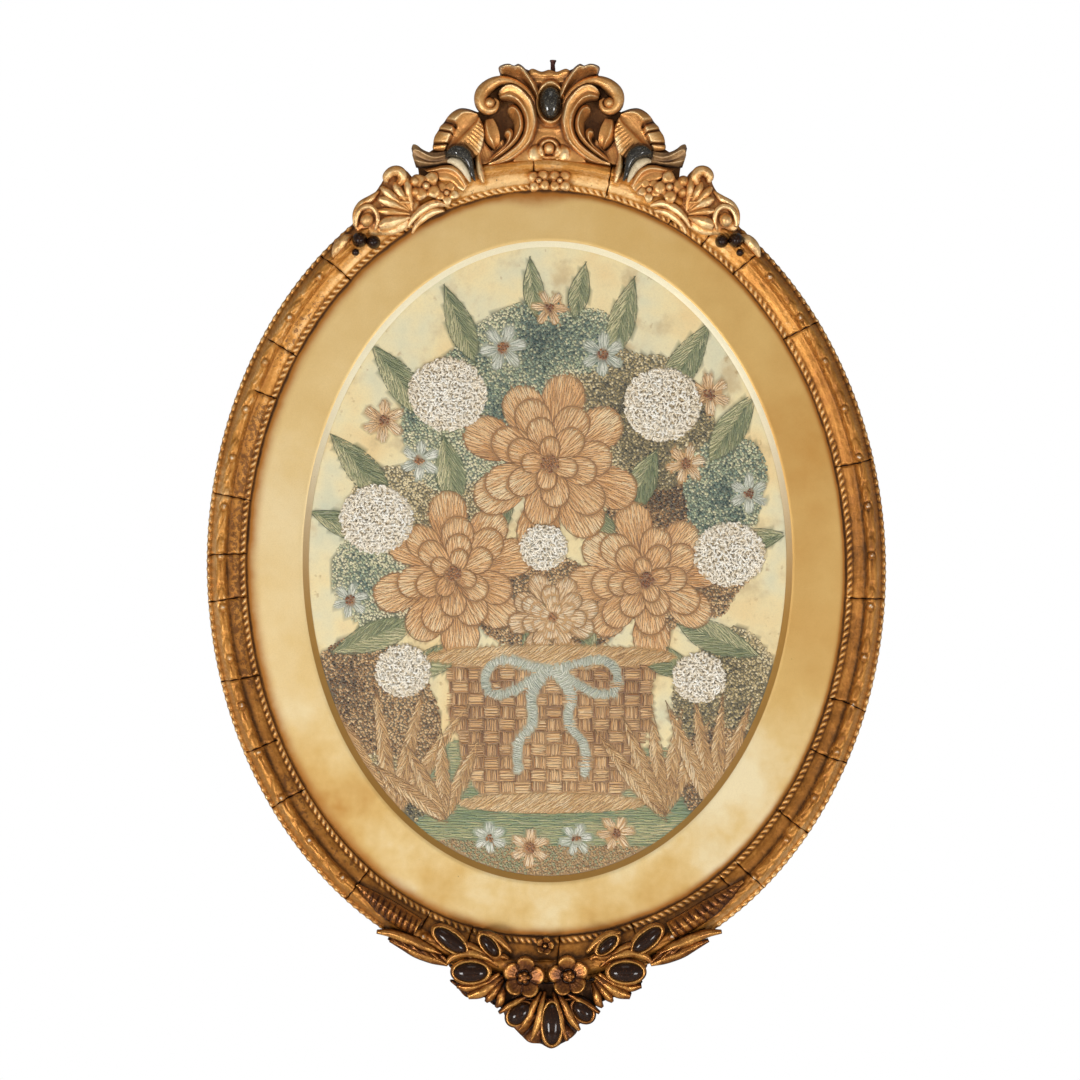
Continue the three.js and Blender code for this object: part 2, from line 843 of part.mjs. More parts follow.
// Feathered leaves that lie along the rail on both sides of the lower ornament.
const FEATHERS = [
  { name: "feather_left", from: -128, to: -115.5 },
  { name: "feather_right", from: -53, to: -68 },
];
const FEATHER_INSET = 12.4;
const FEATHER_CREST = 22.6;
const FEATHER_ROWS = 7;
const FEATHER_TIP = 1.6;
const FEATHER_WIDTH = 12;

function feather({ from, to }) {
  const rows = Array.from({ length: FEATHER_ROWS }, (_, i) => {
    const along = i / (FEATHER_ROWS - 1);
    const middle = ovalPoint(radians(from + (to - from) * along), FEATHER_INSET);
    const opened = sin((PI / 2) * Math.min(1, along * 1.6));
    return {
      x: middle.x,
      z: middle.y,
      width: FEATHER_TIP + (FEATHER_WIDTH - FEATHER_TIP) * opened,
      crest: FEATHER_CREST,
    };
  });
  const leaf = strip({ rows, back: SEAT, rim: FEATHER_CREST - 2 });
  return cutAway(leaf, railSeat);
}
FEATHERS.forEach((row) => addPart(row.name, feather(row), DARK_GILT));

export default picture;
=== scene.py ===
import bpy
import numpy as np
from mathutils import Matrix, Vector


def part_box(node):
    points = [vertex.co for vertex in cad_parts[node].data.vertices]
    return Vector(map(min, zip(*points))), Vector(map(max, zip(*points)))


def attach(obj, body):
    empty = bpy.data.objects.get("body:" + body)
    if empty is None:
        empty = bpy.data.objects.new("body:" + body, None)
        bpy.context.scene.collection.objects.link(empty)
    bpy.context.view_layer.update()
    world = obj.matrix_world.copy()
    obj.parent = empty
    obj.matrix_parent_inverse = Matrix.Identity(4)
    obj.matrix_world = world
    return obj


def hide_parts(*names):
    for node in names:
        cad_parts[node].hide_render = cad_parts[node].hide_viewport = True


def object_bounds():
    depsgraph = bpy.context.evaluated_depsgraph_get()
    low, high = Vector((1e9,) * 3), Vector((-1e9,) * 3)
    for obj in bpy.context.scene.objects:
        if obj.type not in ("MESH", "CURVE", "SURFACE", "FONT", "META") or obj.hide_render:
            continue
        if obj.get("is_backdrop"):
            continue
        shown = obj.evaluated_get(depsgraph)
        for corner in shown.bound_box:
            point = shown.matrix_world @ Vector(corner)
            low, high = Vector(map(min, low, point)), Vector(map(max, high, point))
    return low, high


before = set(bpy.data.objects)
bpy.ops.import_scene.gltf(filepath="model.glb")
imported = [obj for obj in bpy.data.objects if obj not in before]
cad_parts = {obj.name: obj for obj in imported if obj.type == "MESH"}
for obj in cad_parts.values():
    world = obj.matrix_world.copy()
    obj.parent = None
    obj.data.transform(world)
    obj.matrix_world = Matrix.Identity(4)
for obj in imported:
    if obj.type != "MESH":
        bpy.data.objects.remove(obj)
CAD_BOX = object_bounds()

# Camera. The photograph is taken square on from far off with a long lens. One of its pixels is
# 0.6 mm on the frame, and the middle of the oval stands a little right of and below its centre.
PHOTO_SIZE = 1080
MM_PER_PIXEL = 0.6
OVAL_IN_PHOTO = (546.4, 567.0)
CAMERA_DISTANCE = 2600.0
SENSOR_WIDTH = 36.0
FRONT_PLANE = 12.0
MM = 0.001

camera_data = bpy.data.cameras.new("camera")
camera_data.sensor_width = SENSOR_WIDTH
camera_data.lens = SENSOR_WIDTH * CAMERA_DISTANCE / (PHOTO_SIZE * MM_PER_PIXEL)
camera = bpy.data.objects.new("camera", camera_data)
camera.location = (
    (PHOTO_SIZE / 2 - OVAL_IN_PHOTO[0]) * MM_PER_PIXEL * MM,
    -(CAMERA_DISTANCE + FRONT_PLANE) * MM,
    (OVAL_IN_PHOTO[1] - PHOTO_SIZE / 2) * MM_PER_PIXEL * MM,
)
camera.rotation_euler = (np.pi / 2, 0, 0)
bpy.context.scene.collection.objects.link(camera)
bpy.context.scene.camera = camera


# Rail. A moulded oval of wood under gesso and gold: an outer bead row, a hollow, a ridge with a
# running leaf and berry, a cove, a sloping band and a rope row at the sight edge. It is cast and
# carved in lengths of gesso that have shrunk, so age cracks cross it.
class Shade:
    """A socket of a material, on which +, - and * add Math nodes."""

    def __init__(self, finish, socket):
        self.finish = finish
        self.socket = socket

    def _math(self, operation, first, second):
        return self.finish.add("ShaderNodeMath", {0: first, 1: second}, operation=operation)

    def __add__(self, other):
        return self._math("ADD", self, other)

    def __radd__(self, other):
        return self._math("ADD", other, self)

    def __sub__(self, other):
        return self._math("SUBTRACT", self, other)

    def __rsub__(self, other):
        return self._math("SUBTRACT", other, self)

    def __mul__(self, other):
        return self._math("MULTIPLY", self, other)

    def __rmul__(self, other):
        return self._math("MULTIPLY", other, self)


class Finish:
    """A material and its nodes. Constants go straight onto the shader's own sockets."""

    def __init__(self, name, **constants):
        self.material = bpy.data.materials.new(name)
        self.material.use_nodes = True
        self.tree = self.material.node_tree
        self.shader = self.tree.nodes["Principled BSDF"]
        for socket, value in constants.items():
            socket = socket.replace("_", " ").title().replace("Ior", "IOR")
            self.shader.inputs[socket].default_value = value
        self.places = self.add("ShaderNodeTexCoord", output="Object")

    def add(self, kind, values=None, output=0, stops=None, **settings):
        """Places any node: its settings and ramp stops first, then its sockets' values or links."""
        node = self.tree.nodes.new(kind)
        for setting, value in settings.items():
            setattr(node, setting, value)
        if stops:
            ramp = node.color_ramp
            while len(ramp.elements) < len(stops):
                ramp.elements.new(1.0)
            for element, (position, color) in zip(ramp.elements, stops):
                element.position = position
                element.color = (*color, 1.0)
        for socket, value in (values or {}).items():
            if isinstance(value, Shade):
                self.tree.links.new(value.socket, node.inputs[socket])
            else:
                node.inputs[socket].default_value = value
        return Shade(self, node.outputs[output])

    def set(self, **links):
        """Links sockets to the shader's own, which are named with _ for a space."""
        for socket, value in links.items():
            self.tree.links.new(value.socket, self.shader.inputs[socket.replace("_", " ")])

    def noise(self, size, detail=3.0, roughness=0.55, places=None):
        """Cloudy noise from 0 to 1 whose blots are about size millimetres."""
        values = {"Vector": places or self.places, "Scale": 1.0 / (size * MM)}
        return self.add("ShaderNodeTexNoise", {**values, "Detail": detail, "Roughness": roughness})

    def squeeze(self, value, low, high):
        """0 below low, 1 above high, and a smooth rise between."""
        values = {"Value": value, "From Min": low, "From Max": high}
        return self.add("ShaderNodeMapRange", values, interpolation_type="SMOOTHSTEP")

    def blend(self, first, second, share):
        """Mixes two colours, each an (r, g, b) or a socket, by a share."""
        first, second = ((*c, 1.0) if isinstance(c, tuple) else c for c in (first, second))
        return self.add("ShaderNodeMix", {0: share, 6: first, 7: second}, output=2, data_type="RGBA")

    def ramp(self, value, *stops):
        """A colour between stops, each a place from 0 to 1 and its colour."""
        return self.add("ShaderNodeValToRGB", {"Fac": value}, output="Color", stops=stops)

    def attribute(self, name, output="Fac"):
        """One of the mesh's own values, kept for each vertex."""
        return self.add("ShaderNodeAttribute", output=output, attribute_name=name)

    def axis(self, name):
        """Place along X, Y or Z in metres."""
        return self.add("ShaderNodeSeparateXYZ", {0: self.places}, output=name)

    def bump(self, field, depth, strength=1.0):
        """A Bump node whose field of 0 to 1 stands for depth millimetres."""
        values = {"Height": field, "Distance": depth * MM, "Strength": strength}
        return self.add("ShaderNodeBump", values, output="Normal")


def color(code):
    """A colour in linear light from its web code: the sRGB curve undone, channel by channel."""
    channels = np.array([int(code[i : i + 2], 16) for i in (1, 3, 5)]) / 255
    linear = np.where(channels < 0.04045, channels / 12.92, ((channels + 0.055) / 1.055) ** 2.4)
    return tuple(float(c) for c in linear)


def sewn(rows, columns, poles, rows_join):
    """Corners of the quads that join a grid's neighbours, its last column to the first, and the
    grid places that they use."""
    index = np.arange(rows * columns).reshape(rows, columns)
    for end in poles:
        index[end] = index[end, 0]
    if rows_join:
        index = np.concatenate([index, index[:1]])
    index = np.concatenate([index, index[:, :1]], axis=1)
    quads = np.stack([index[:-1, :-1], index[1:, :-1], index[1:, 1:], index[:-1, 1:]], axis=-1)
    used, renumbered = np.unique(quads.reshape(-1, 4), return_inverse=True)
    return renumbered.reshape(-1, 4), used


def turned_out(points, quads):
    """The quads, reversed if the volume under them, the sum of a . (b x c) / 6, is negative."""
    a, b, c, d = (points[quads[:, k]] for k in range(4))
    volume = np.einsum("ij,ij->", a, np.cross(b, c)) + np.einsum("ij,ij->", a, np.cross(c, d))
    return quads[:, ::-1] if volume < 0 else quads


def put_piece(name, points, quads, finish, attributes):
    """A piece on the root body from its points in mm, its quads and its vertices' attributes.
    A quad with two corners in one place becomes a triangle."""
    same = quads == np.roll(quads, -1, axis=1)
    pinched = same.any(axis=1)
    order = np.concatenate([quads[~pinched].ravel(), quads[pinched][~same[pinched]]])
    sizes = np.concatenate([np.full((~pinched).sum(), 4), 4 - same[pinched].sum(axis=1)])
    mesh = bpy.data.meshes.new(name)
    mesh.vertices.add(len(points))
    mesh.vertices.foreach_set("co", (points * (MM, -MM, MM)).ravel())
    mesh.loops.add(len(order))
    mesh.loops.foreach_set("vertex_index", order.astype(np.int32))
    mesh.polygons.add(len(sizes))
    starts = np.concatenate([[0], np.cumsum(sizes)[:-1]])
    mesh.polygons.foreach_set("loop_start", starts.astype(np.int32))
    mesh.polygons.foreach_set("use_smooth", np.full(len(sizes), True))
    mesh.update(calc_edges=True)
    mesh.validate()
    for key, values in attributes.items():
        if values.shape[1] == 1:
            mesh.attributes.new(key, "FLOAT", "POINT").data.foreach_set("value", values.ravel())
        else:
            opaque = np.concatenate([values, np.ones((len(values), 1))], axis=1)
            mesh.attributes.new(key, "FLOAT_COLOR", "POINT").data.foreach_set("color", opaque.ravel())
    piece = bpy.data.objects.new(name, mesh)
    piece.data.materials.append(finish.material)
    bpy.context.scene.collection.objects.link(piece)
    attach(piece, "root")
    return piece


def make(name, grids, finish, slot, *nodes, rows_join=False, **attributes):
    """A piece from grids of points, each rows by columns by (x, height, z) in millimetres, which
    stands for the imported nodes.

    Neighbours on a grid are joined by quads, its last column to the first, and with rows_join its
    last row to the first. An end row whose points are all one place becomes a pole. Attributes
    are lists of one array a grid.
    """
    points, quads, start = [], [], 0
    kept = {key: [] for key in attributes}
    for g, grid in enumerate(grids):
        rows, columns = grid.shape[:2]
        poles = [end for end in (0, -1) if not rows_join and np.ptp(grid[end], axis=0).max() < 1e-6]
        corners, used = sewn(rows, columns, poles, rows_join)
        places = grid.reshape(-1, 3)[used]
        quads.append(turned_out(places * (1, -1, 1), corners) + start)
        points.append(places)
        start += len(used)
        for key, arrays in attributes.items():
            kept[key].append(np.asarray(arrays[g], float).reshape(rows * columns, -1)[used])
    kept = {key: np.concatenate(values) for key, values in kept.items()}
    piece = put_piece(name, np.concatenate(points), np.concatenate(quads), finish, kept)
    for node in nodes:
        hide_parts(node)
    return piece


carved = []


def carve(*description, **more):
    """A gilded piece, which takes part in the map of heights that ages the gilding."""
    carved.append(make(*description, **more))


def bell(distance, spread):
    """A bump from 0 to 1: e to the power of minus the distance in spreads, squared."""
    return np.exp(-((distance / spread) ** 2))


low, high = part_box("frame_rail")
OVAL_ACROSS = (high.x - low.x) / 2 / MM
OVAL_UP = (high.z - low.z) / 2 / MM
OVAL_LEAN = np.radians(1.1)
FOOT_GROWTH = 0.17
FOOT_ANGLE = np.radians(-85)
FOOT_SPREAD = np.radians(27)


def oval(angle, inset):
    """Points (x, z) of the frame's oval, at angles from +X towards +Z.

    The ellipse's point is moved in along its normal by inset mm, which grows at the foot by a
    bell curve of the angle, and the whole is turned by the oval's lean.
    """
    from_foot = np.arctan2(np.sin(angle - FOOT_ANGLE), np.cos(angle - FOOT_ANGLE))
    inset = inset * (1 + FOOT_GROWTH * bell(from_foot, FOOT_SPREAD))
    outward = np.stack([np.cos(angle) / OVAL_ACROSS, np.sin(angle) / OVAL_UP])
    outward = outward / np.linalg.norm(outward, axis=0)
    x = OVAL_ACROSS * np.cos(angle) - outward[0] * inset
    z = OVAL_UP * np.sin(angle) - outward[1] * inset
    return (
        x * np.cos(OVAL_LEAN) - z * np.sin(OVAL_LEAN),
        x * np.sin(OVAL_LEAN) + z * np.cos(OVAL_LEAN),
    )


FINE_ANGLES = np.linspace(-np.pi / 2, 1.5 * np.pi, 7201)
FINE_X, FINE_Z = oval(FINE_ANGLES, 9.0)
FINE_LENGTH = np.concatenate([[0], np.cumsum(np.hypot(np.diff(FINE_X), np.diff(FINE_Z)))])
RAIL_LENGTH = FINE_LENGTH[-1]


def along_rail(angle):
    """Distance along the rail from its foot, anticlockwise from the front, for any angle."""
    wrapped = (angle + np.pi / 2) % (2 * np.pi) - np.pi / 2
    return np.interp(wrapped, FINE_ANGLES, FINE_LENGTH)


# Section of the rail's front: distance in from the outer edge, and height from the wall.
RAIL_SECTION = [
    (0.0, 9.2), (0.5, 10.1), (2.2, 10.2), (3.0, 11.2), (4.4, 13.6), (5.4, 16.2), (6.4, 18.0),
    (8.8, 19.0), (11.0, 18.2), (12.2, 16.2), (12.8, 14.4), (14.2, 13.6), (17.0, 13.0),
    (20.0, 11.2), (20.6, 10.2), (23.2, 10.0), (24.0, 9.0),
]
# Cracks of age: angle in degrees, and where each starts and ends across the section.
CRACKS = [
    (-40.8, 0.0, 24), (-29.1, 0.0, 24), (-21.1, 0.0, 24), (-5.3, 0.0, 24), (14.2, 1.0, 24),
    (35.3, 0.0, 24), (49.0, 3.0, 24), (56.7, 2.0, 24), (63.8, 2.0, 24), (77.0, 4.0, 24),
    (91.0, 4.0, 24), (108.3, 14, 24), (117.7, 14, 24), (130.4, 1.0, 24), (145.3, 4.0, 24),
    (153.3, 10, 24), (168.8, 2.0, 24), (177.5, 2.0, 24), (183.9, 0.0, 24), (195.1, 0.0, 24),
    (205.7, 2.0, 22), (214.6, 0.0, 24), (232.3, 0.0, 24), (244.9, 13, 24), (253.8, 13, 24),
    (270.6, 6.0, 24), (286.2, 13, 24), (304.7, 13, 24), (308.4, 0.0, 24),
]
CRACK_HALF_WIDTH = 0.30
CRACK_DEPTH = 2.2
CRACK_ROWS = np.array([-1.0, -0.45, 0.0, 0.45, 1.0])
BEAD_PITCH = 4.8
ROPE_PITCH = 4.55
LEAF_PITCH = 30.2
RIDGE = 9.2
FIRST_BERRY = {1: 13.3, -1: 20.6}
RING_SPLIT = 12.5
rng = np.random.default_rng(7)
crack_angles = np.radians([row[0] for row in CRACKS])
crack_bends = rng.uniform(-1, 1, (len(CRACKS), 3))


def crack_drift(k, inset):
    """How far crack k strays along the rail at an inset: two waves and a slant."""
    a, b, c = crack_bends[k]
    return 0.8 * a * np.sin(inset / 5.2 + 3 * b) + 0.12 * np.sin(inset * 1.1 + 5 * c) + 0.08 * b * inset


def rail_rows(step):
    """Places along the rail, step mm apart, with extra rows at each crack."""
    even = np.arange(0, RAIL_LENGTH - step / 2, step)
    at_cracks = along_rail(crack_angles)
    near = np.abs(even[:, None] - at_cracks[None]).min(axis=1) < 1.25
    extra = (at_cracks[:, None] + CRACK_ROWS * CRACK_HALF_WIDTH * 2).ravel()
    return np.sort(np.concatenate([even[~near], extra % RAIL_LENGTH]))


def smooth_wave(seed, place, step):
    """Slow random heights from -1 to 1: random values every step mm, joined by cosine curves."""
    values = np.random.default_rng(seed).uniform(-1, 1, 4096)
    at = place / step
    k = np.floor(at).astype(int)
    share = (1 - np.cos(np.pi * (at - k))) / 2
    return values[k % 4096] * (1 - share) + values[(k + 1) % 4096] * share


def leaf_and_berry(climb, inset):
    """Height of the running ornament on the ridge, by the distance climbed from the foot, and
    where its berries are.

    One repeat is a berry, a dome; a leaf, an almond whose middle is hollow; and three husks, thin
    almonds. The ground between them is sunk.
    """
    repeat = np.floor(climb / LEAF_PITCH + 0.5)
    t = climb - repeat * LEAF_PITCH + 0.6 * smooth_wave(5, repeat * 10.0 + 3, 10.0)
    across = inset - RIDGE

    def almond(middle, half_length, off, half_width, hollow):
        """A pointed lump: powers of 1 less the square of the share out, along and across it."""
        along = np.clip((t - middle) / half_length, -1, 1)
        reach = half_width * np.sqrt(np.maximum(1 - along**2, 0)) * (1 - 0.28 * along) + 1e-6
        swell = np.clip(1 - ((across - off) / reach) ** 2, 0, 1)
        return (swell**0.55 - hollow * swell**2) * (1 - along**2) ** 0.3

    def dome(middle, off, radius):
        """A round lump: the square root of 1 less the square of the share out."""
        r = np.hypot(t - middle, across - off) / radius
        return np.sqrt(np.maximum(1 - r**2, 0))

    berry = dome(0.0, 0.2, 2.1)
    seat = -0.7 * bell(np.hypot(t, across - 0.2) - 2.5, 0.5)
    leaf = 1.6 * almond(6.6, 4.8, 0.1, 2.5, 0.6)
    tip_husk = 0.9 * almond(-8.4, 7.4, -1.5, 1.4, 0.2)
    low_husk = 0.9 * almond(-7.0, 6.6, 1.6, 1.5, 0.2)
    far_husk = 0.9 * almond(-14.6, 5.4, 0.2, 1.9, 0.35)
    return np.maximum.reduce([2.1 * berry, leaf, tip_husk, low_husk, far_husk]) + seat, berry


def bead_wave(length):
    """Outer bead row, from 0 between beads to 1 on them: a rounded cosine along the rail."""
    phase = length / RAIL_LENGTH * round(RAIL_LENGTH / BEAD_PITCH) + 0.10 * smooth_wave(1, length, 23.0)
    return np.abs(np.cos(np.pi * phase)) ** 0.7


def rope_wave(length, inset):
    """Rope row at the sight edge, from 0 to 1: rounded ramps that slant with the inset."""
    turn = (length / RAIL_LENGTH * round(RAIL_LENGTH / ROPE_PITCH) + 0.20 * (inset - 21.9)) % 1
    return np.clip(1 - np.abs(turn - 0.42) / 0.40, 0, 1) ** 0.55


def rail_front(length, inset):
    """Height of the rail's front and where its berries are, by length and inset.

    The section is interpolated and softened; bead rows are rounded waves along the length, the
    rope's slanted by its inset; slow waves make it uneven; cracks are narrow bells cut in.
    """
    fine = np.arange(0, 24.01, 0.1)
    section = np.interp(fine, *np.transpose(RAIL_SECTION))
    kernel = bell(np.arange(-8, 9) * 0.1, 0.4)
    padded = np.pad(section, 8, mode="edge")
    section = np.convolve(padded, kernel / kernel.sum(), mode="valid")
    height = np.interp(inset, fine, section)

    worn = 0.75 + 0.25 * smooth_wave(2, length, 31.0)
    on_beads = np.clip(1 - ((inset - 1.15) / 1.15) ** 2, 0, 1) ** 0.6
    height = height + 2.0 * worn * (bead_wave(length) - 0.35) * on_beads
    worn = 0.8 + 0.2 * smooth_wave(3, length, 17.0)
    on_rope = np.clip(1 - ((inset - 21.9) / 1.45) ** 2, 0, 1) ** 0.5
    height = height + 2.1 * worn * (rope_wave(length, inset) - 0.4) * on_rope

    side = np.where(length < RAIL_LENGTH / 2, 1, -1)
    climb = np.where(side > 0, length - FIRST_BERRY[1], RAIL_LENGTH - length - FIRST_BERRY[-1])
    on_ridge = np.clip(1.35 - np.abs(inset - RIDGE) / 3.6, 0, 1) ** 0.5
    from_top = np.abs(length - RAIL_LENGTH / 2)
    on_ridge = on_ridge * np.clip((from_top - 92) / 8, 0, 1)
    ornament, berry = leaf_and_berry(climb, inset)
    height = height + (ornament - 0.5 + 0.30 * smooth_wave(61, length + 2.6 * inset, 2.6)) * on_ridge

    height = height + 0.18 * smooth_wave(4, length, 9.0) + 0.12 * smooth_wave(8, length + 7 * inset, 3.1)
    pits = smooth_wave(11, length + 2.5 * inset, 2.3) * smooth_wave(12, 3.1 * inset - 0.2 * length, 2.1)
    pits = np.maximum(pits - 0.42, 0)
    return height - 1.3 * pits * bell(inset - 16.5, 3.2), berry * on_ridge


def worn_share(length, inset):
    """How much of the band's gold is worn to brown size, from 0 to 1: most on the left side."""
    left = bell((length - 0.76 * RAIL_LENGTH) / RAIL_LENGTH, 0.15)
    share = np.clip(0.15 + 0.9 * left + 0.35 * smooth_wave(53, length, 26.0), 0, 1)
    return share * np.clip((inset - 12.6) / 1.6, 0, 1) * np.clip((23.0 - inset) / 1.5, 0, 1)


def soot(length, inset):
    """Painted light and shade on the rail, above 0 painted shade and below 0 painted light: bells across
    the section that grow towards its right, its foot, its left or its top, and the gaps and tops of the
    beads, with painted shadow lines beside the bands."""
    angle = np.interp(length % RAIL_LENGTH, FINE_LENGTH, FINE_ANGLES)
    right, up = np.cos(angle), np.sin(angle)
    # Painted light and shade, as light falls from below and the left: the cove darker, but lighter at the
    # top; the ridge and band darker on the right and the band lighter at the top; the outer fillet lighter
    # at the foot and on the left; shade in the gaps of beads and rope, highlight on their tops; and painted
    # shadow lines at insets 2.8, 20 and 24.
    cove = 0.20 * bell(inset - 13.2, 1.5) * np.clip(1.0 - 1.9 * up, -1.2, 1)
    ridge = bell(inset - 9.4, 2.4) * (0.08 + 0.18 * np.clip(right, 0, 1) * np.clip(1 + up, 0, 1))
    slope = 0.20 * np.clip(right, 0, 1) + 0.04 * np.clip(-right, 0, 1) - 0.02
    slope = bell(inset - 18.0, 4.2) * (slope - 0.40 * np.clip(up - 0.2, 0, 1))
    below = 0.26 * np.clip(-1.4 * right, 0, 1) * np.clip(1 - 1.2 * up, 0, 1)
    below = below + 0.62 * np.clip(-up, 0, 1) * np.clip(0.5 + right, 0, 1)
    fillet = -bell(inset - 3.4, 2.9) * below
    beads = bell(inset - 1.2, 1.2) * (0.55 - 0.80 * bead_wave(length))
    ropes = bell(inset - 21.9, 1.3) * (0.36 - 0.84 * rope_wave(length, inset))
    lines = 0.22 * bell(inset - 20.0, 0.6) + 0.50 * bell(inset - 24.0, 0.6) + 0.25 * bell(inset - 2.8, 0.6)
    return cove + ridge + slope + fillet + beads + ropes + lines


def crack_at(length, inset):
    """Depth of the cracks, from 0 to 1, and the drift of the rows that follow them."""
    depth = np.zeros(np.broadcast(length, inset).shape)
    drift = np.zeros_like(depth)
    for k, (degrees, start, end) in enumerate(CRACKS):
        gap = length - along_rail(np.radians(degrees))
        gap = (gap + RAIL_LENGTH / 2) % RAIL_LENGTH - RAIL_LENGTH / 2
        reach = np.clip((inset - start) / 1.2 + 0.5, 0, 1) * np.clip((end - inset) / 1.2 + 0.5, 0, 1)
        width = CRACK_HALF_WIDTH * (1.1 + 0.5 * np.sin(inset * 0.9 + k))
        depth = np.maximum(depth, reach * bell(gap, width))
        drift += crack_drift(k, inset) * bell(gap, 5.0)
    return depth, drift


def rail_ring(insets, step, rest):
    """A closed ring of the rail, its front over the insets, scalloped at the outer beads, then
    the rest of its section; and the attributes that its finish reads."""
    length = rail_rows(step)[:, None]
    inset = np.asarray(insets)[None]
    crack, drift = crack_at(length, inset)
    height, berry = rail_front(length + drift, inset)
    height = height - CRACK_DEPTH * crack
    angle = np.interp((length + drift) % RAIL_LENGTH, FINE_LENGTH, FINE_ANGLES)
    gap = 0.5 - 0.5 * np.cos(2 * np.pi * length / RAIL_LENGTH * round(RAIL_LENGTH / BEAD_PITCH))
    x, z = oval(angle, inset + 0.65 * gap * np.clip(1 - inset / 1.6, 0, 1))
    front = np.stack([x, height, z], axis=-1)
    angle = np.interp(length, FINE_LENGTH, FINE_ANGLES)
    sides = []
    for rest_inset, rest_height in rest:
        x, z = oval(angle, np.full_like(length, rest_inset))
        sides.append(np.stack([x, np.full_like(x, rest_height), z], axis=-1))
    grid = np.concatenate([front, *sides], axis=1)
    # Fields for the finish: cracks, wear, gesso, and painted light and shade on the rail.
    fields = {
        "crack": crack, "worn": worn_share(length, inset), "chalk": 0.52 * berry,
        "soot": soot(length + drift, inset),
    }
    plain = np.zeros((len(length), len(rest)))
    return grid, {name: [np.concatenate([values, plain], axis=1)] for name, values in fields.items()}


def gilding(name, codes, metal=0.55, gloss=0.42):
    """Old toned gold: four colours ramped by cloudy noise, hollows and raised heights.

    It is painted lighter towards the top of the frame, as light. Dirt and painted shade follow the
    hollow attribute, rubbing and painted highlight the raised one, painted light and shade the
    rail's own attribute of it, brown wear the worn one and gesso the chalk one. The back, which lies at
    height 0, is bare wood.
    """
    deep, middle, bright, dust = (color(code) for code in codes.split())
    finish = Finish(name, ior=1.5)
    hollow = finish.attribute("hollow")
    raised = finish.attribute("raised")
    chalk = finish.attribute("chalk")
    crack = finish.attribute("crack")
    broad = finish.noise(38.0, detail=3.0)
    patchy = finish.noise(7.0, detail=5.0, roughness=0.62)
    fine = finish.noise(1.3, detail=4.0, roughness=0.65)
    # Cloudy tone, with painted light that grows towards the top of the frame.
    tone = broad * 0.45 + patchy * 0.55 + fine * 0.42 - 0.21 + finish.axis("Z") * 0.30
    # The rail's painted light and shade: darker above 0, lighter below it.
    rail_light_and_shade = finish.attribute("soot")
    # Lighter on raised places, as rubbed gold and painted highlight; darker in hollows, as dirt and painted
    # shade; and the rail's painted light and shade.
    tone = tone + raised * 0.36 - hollow * 0.40 - rail_light_and_shade
    gold = finish.ramp(tone, (0.05, deep), (0.36, middle), (0.62, bright), (0.92, dust))
    # Dirt and painted shade in hollows, and the rail's painted shade, darken and dull the gold.
    dirt_and_shade = finish.squeeze(hollow + rail_light_and_shade * 0.8 + (patchy - 0.5) * 0.5, 0.35, 1.15)
    gold = finish.blend(gold, tuple(c * 0.32 for c in deep), dirt_and_shade)
    flakes = finish.noise(2.6, detail=5.0, roughness=0.7)
    worn = finish.squeeze(finish.attribute("worn") * 0.28 + flakes, 0.74, 0.81)
    gold = finish.blend(gold, color("#6E421E"), worn * 0.8)
    bole = finish.squeeze(finish.noise(4.2, detail=4.0) + raised * 0.12, 0.66, 0.74)
    gold = finish.blend(gold, color("#8A4B26"), bole * 0.45)
    speck = finish.squeeze(finish.noise(1.1, detail=3.0, roughness=0.7), 0.62, 0.74)
    gold = finish.blend(gold, color("#3A2415"), speck * 0.65)
    gesso = finish.squeeze(chalk + (fine - 0.5) * 0.7, 0.42, 0.62)
    gold = finish.blend(gold, color("#E9DCC6"), gesso)
    gold = finish.blend(gold, color("#1C120B"), finish.squeeze(crack, 0.3, 0.8))
    wood = finish.squeeze(finish.axis("Y") * 1000.0, -1.2, -0.6)
    grain = finish.noise(9.0, detail=6.0)
    gold = finish.blend(gold, finish.blend(color("#7C5E3E"), color("#9A7C58"), grain), wood)
    bare = 1.0 - (1.0 - gesso) * (1.0 - wood) * (1.0 - dirt_and_shade * 0.6)
    finish.set(
        Base_Color=gold,
        Metallic=metal * (1.0 - bare),
        Roughness=gloss + (patchy - 0.5) * 0.25 + dirt_and_shade * 0.2 + bare * 0.2,
        Normal=finish.bump(fine * 0.5 + patchy * 0.5, 0.55, 0.8),
    )
    return finish


rail_gold = gilding("rail_gold", "#60390F #A86A26 #CC8C3E #F0C486")
OUTER_INSETS = np.concatenate([
    [0.0, 0.3, 0.7, 1.15, 1.6, 2.0, 2.4], np.linspace(3.0, 5.6, 5), np.linspace(6.1, RING_SPLIT, 15)
])
INNER_INSETS = np.concatenate([
    [RING_SPLIT - 0.4, RING_SPLIT], np.linspace(13.2, 20.0, 9),
    [20.45, 20.8, 21.2, 21.6, 22.0, 22.4, 22.8, 23.2, 23.6, 24.0],
])
outer_ring, outer_fields = rail_ring(
    OUTER_INSETS, 0.81, [(RING_SPLIT, 6.0), (RING_SPLIT, 0.0), (0.6, 0.0), (0.0, 0.6), (0.0, 5.0)]
)
inner_ring, inner_fields = rail_ring(
    INNER_INSETS, 0.90,
    [(24.0, 8.0), (19.0, 8.0), (19.0, 0.0), (RING_SPLIT - 0.4, 0.0), (RING_SPLIT - 0.4, 6.0)],
)
carve("rail_outer", [outer_ring], rail_gold, "gilding", "frame_rail", rows_join=True, **outer_fields)
carve("rail_inner", [inner_ring], rail_gold, "gilding", "frame_rail", rows_join=True, **inner_fields)


